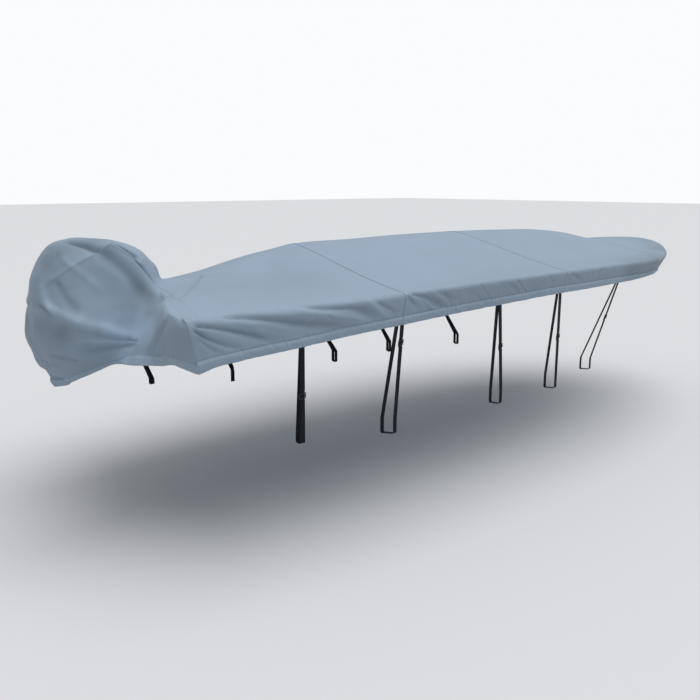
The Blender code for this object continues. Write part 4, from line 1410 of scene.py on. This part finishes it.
def woven_webbing():
    """Near-black webbing: columns of slanting picks along it."""
    n = Nodes("woven_webbing")
    across, along, _ = n.split(n.uv())
    column = n.math("SINE", n.math("MULTIPLY", across, 2 * math.pi / WEBBING_COLUMN))
    ridge = n.math("ABSOLUTE", column)
    shift = n.math("MULTIPLY", n.math("GREATER_THAN", column, 0.0), math.pi)
    turns = n.plus(shift, (along, 2 * math.pi / WEBBING_PICK), (ridge, 1.4))
    pick = n.math("SINE", turns)
    worn = n.noise(n.place(), 30.0, 4.0)
    return n.shade(
        n.scaled(n.plus(0.6, (pick, 0.22), (worn, 0.9)), WEBBING_COLOUR),
        n.plus(0.55, (worn, 0.2)),
        Normal=n.bump(0.55, 0.0003, n.plus(ridge, (pick, 0.5))), Specular_IOR_Level=0.18,
    )


def moulded_plastic():
    """Black moulded plastic with a fine grain, a little polished where it is handled."""
    n = Nodes("moulded_plastic")
    place = n.place()
    grain, handled = n.noise(place, 1400.0, 2.0), n.noise(place, 60.0, 3.0)
    return n.shade(
        n.scaled(n.plus(0.7, (handled, 0.8)), PLASTIC_COLOUR), n.plus(0.28, (handled, 0.28)),
        Normal=n.bump(0.3, 0.0002, grain),
    )


def sewing_thread():
    """Pale bonded thread, a little soiled in places."""
    n = Nodes("sewing_thread")
    soiled = n.noise(n.place(), 40.0, 3.0)
    return n.shade(
        n.scaled(n.plus(0.72, (soiled, 0.5)), THREAD_COLOUR), n.plus(0.5, (soiled, 0.2))
    )


# Camera, floor and light
CAMERA_PLACE = (-3.3116, -3.4991, 0.3065)
CAMERA_PITCH, CAMERA_YAW = 0.20849, 0.71659
FOCAL_PIXELS, IMAGE_PIXELS, SENSOR = 789.86, 700, 36.0
FLOOR_HEIGHT, FLOOR_SIZE = -1.3235, 60
FLOOR_COLOUR, FLOOR_ROUGHNESS = (0.66, 0.66, 0.67, 1), 0.9
# A wide soft light from above, a little from the bow and the starboard side
LIGHT_FROM, LIGHT_POWER, LIGHT_SPREAD = Vector((0.16, -0.24, 1.0)), 1.92, 1.1
# The ambient light comes from above too, more than from the sides
AMBIENT_COLOUR, AMBIENT_LEAST, AMBIENT_MOST = (0.95, 0.97, 1.0, 1), 0.22, 0.70
BACKDROP_COLOUR = (0.96, 0.97, 0.98, 1)


def studio():
    lens = bpy.data.cameras.new("camera")
    put(lens, sensor_width=SENSOR, lens=SENSOR * FOCAL_PIXELS / IMAGE_PIXELS, clip_end=200)
    camera = linked("camera", lens)
    turned = (math.pi / 2 - CAMERA_PITCH, 0, -CAMERA_YAW)
    put(camera, location=CAMERA_PLACE, rotation_euler=turned)
    bpy.context.scene.camera = camera

    mesh = bmesh.new()
    bmesh.ops.create_grid(mesh, x_segments=1, y_segments=1, size=FLOOR_SIZE)
    bmesh.ops.translate(mesh, verts=mesh.verts, vec=(0, 0, FLOOR_HEIGHT))
    paint = Nodes("floor_paint").shade(FLOOR_COLOUR, FLOOR_ROUGHNESS)
    floor = linked("floor", as_data("floor", mesh, paint))

    light = bpy.data.lights.new("overhead", "SUN")
    put(light, energy=LIGHT_POWER, angle=LIGHT_SPREAD)
    linked("overhead", light).rotation_euler = LIGHT_FROM.to_track_quat("Z", "Y").to_euler()

    world = bpy.data.worlds.new("studio")
    world.use_nodes = True
    tree = world.node_tree
    ambient = tree.nodes["Background"]
    direction = add_node(tree, "ShaderNodeTexCoord").outputs["Generated"]
    height = add_node(tree, "ShaderNodeSeparateXYZ", {0: direction}).outputs[2]
    strength = add_node(
        tree, "ShaderNodeMapRange",
        {"Value": height, "From Min": 0.0, "From Max": 1.0,
         "To Min": AMBIENT_LEAST, "To Max": AMBIENT_MOST},
    )
    feed(tree, ambient, {0: AMBIENT_COLOUR, 1: strength.outputs["Result"]})
    backdrop = add_node(tree, "ShaderNodeBackground", {0: BACKDROP_COLOUR})
    seen = add_node(tree, "ShaderNodeLightPath").outputs["Is Camera Ray"]
    mix = add_node(
        tree, "ShaderNodeMixShader", {0: seen, 1: ambient.outputs[0], 2: backdrop.outputs[0]}
    )
    feed(tree, tree.nodes["World Output"], {0: mix.outputs[0]})
    bpy.context.scene.world = world
    bpy.context.scene.view_settings.view_transform = "Standard"


# The whole cover
def build():
    studio()
    aft, middle, fore = cross_seam(SEAM_AFT), cross_seam(SEAM_MIDDLE), cross_seam(SEAM_FORE, 0)
    panels = [
        deck_panel("stern_panel", dart_station, aft),
        deck_panel("middle_panel", aft, middle),
        deck_panel("fore_panel", middle, fore),
        bow_panel("bow_panel"),
        hood_crossing("hood_cap", 0, PEAK, ("left", "right", "last")),
        hood_crossing("neck_gusset", PEAK, CORNER, ("left", "right")),
        hood_side("hood_side_starboard", -1),
        hood_side("hood_side_port", 1),
    ]
    share_edges(panels)
    finish, webbing, plastic = canvas(), woven_webbing(), moulded_plastic()
    for seed, panel in enumerate(panels, 10):
        cloth_piece(panel, seed, finish)
    boxes = []
    for side, label in ((-1, "starboard"), (1, "port")):
        for number, row in enumerate(TIE_DOWNS, 1):
            tie_down(f"tie_down_{label}_{number}", row, side, webbing)
            slider(f"slider_{label}_{number}", row, side, plastic)
            boxes += box_lines(panels[:3], row, side)

    tree = stitch_tree(sewing_thread())
    hemmed = panels[:4] + panels[6:]
    stitch_piece("deck_seam_stitches", sum(map(seam_lines, panels[:4]), []), tree)
    stitch_piece("hood_seam_stitches", sum(map(seam_lines, panels[4:]), []), tree)
    stitch_piece("hem_stitches", sum(map(hem_lines, hemmed), []), tree)
    stitch_piece("tie_down_stitches", boxes, tree, BOX_PITCH, BOX_STITCH)


build()
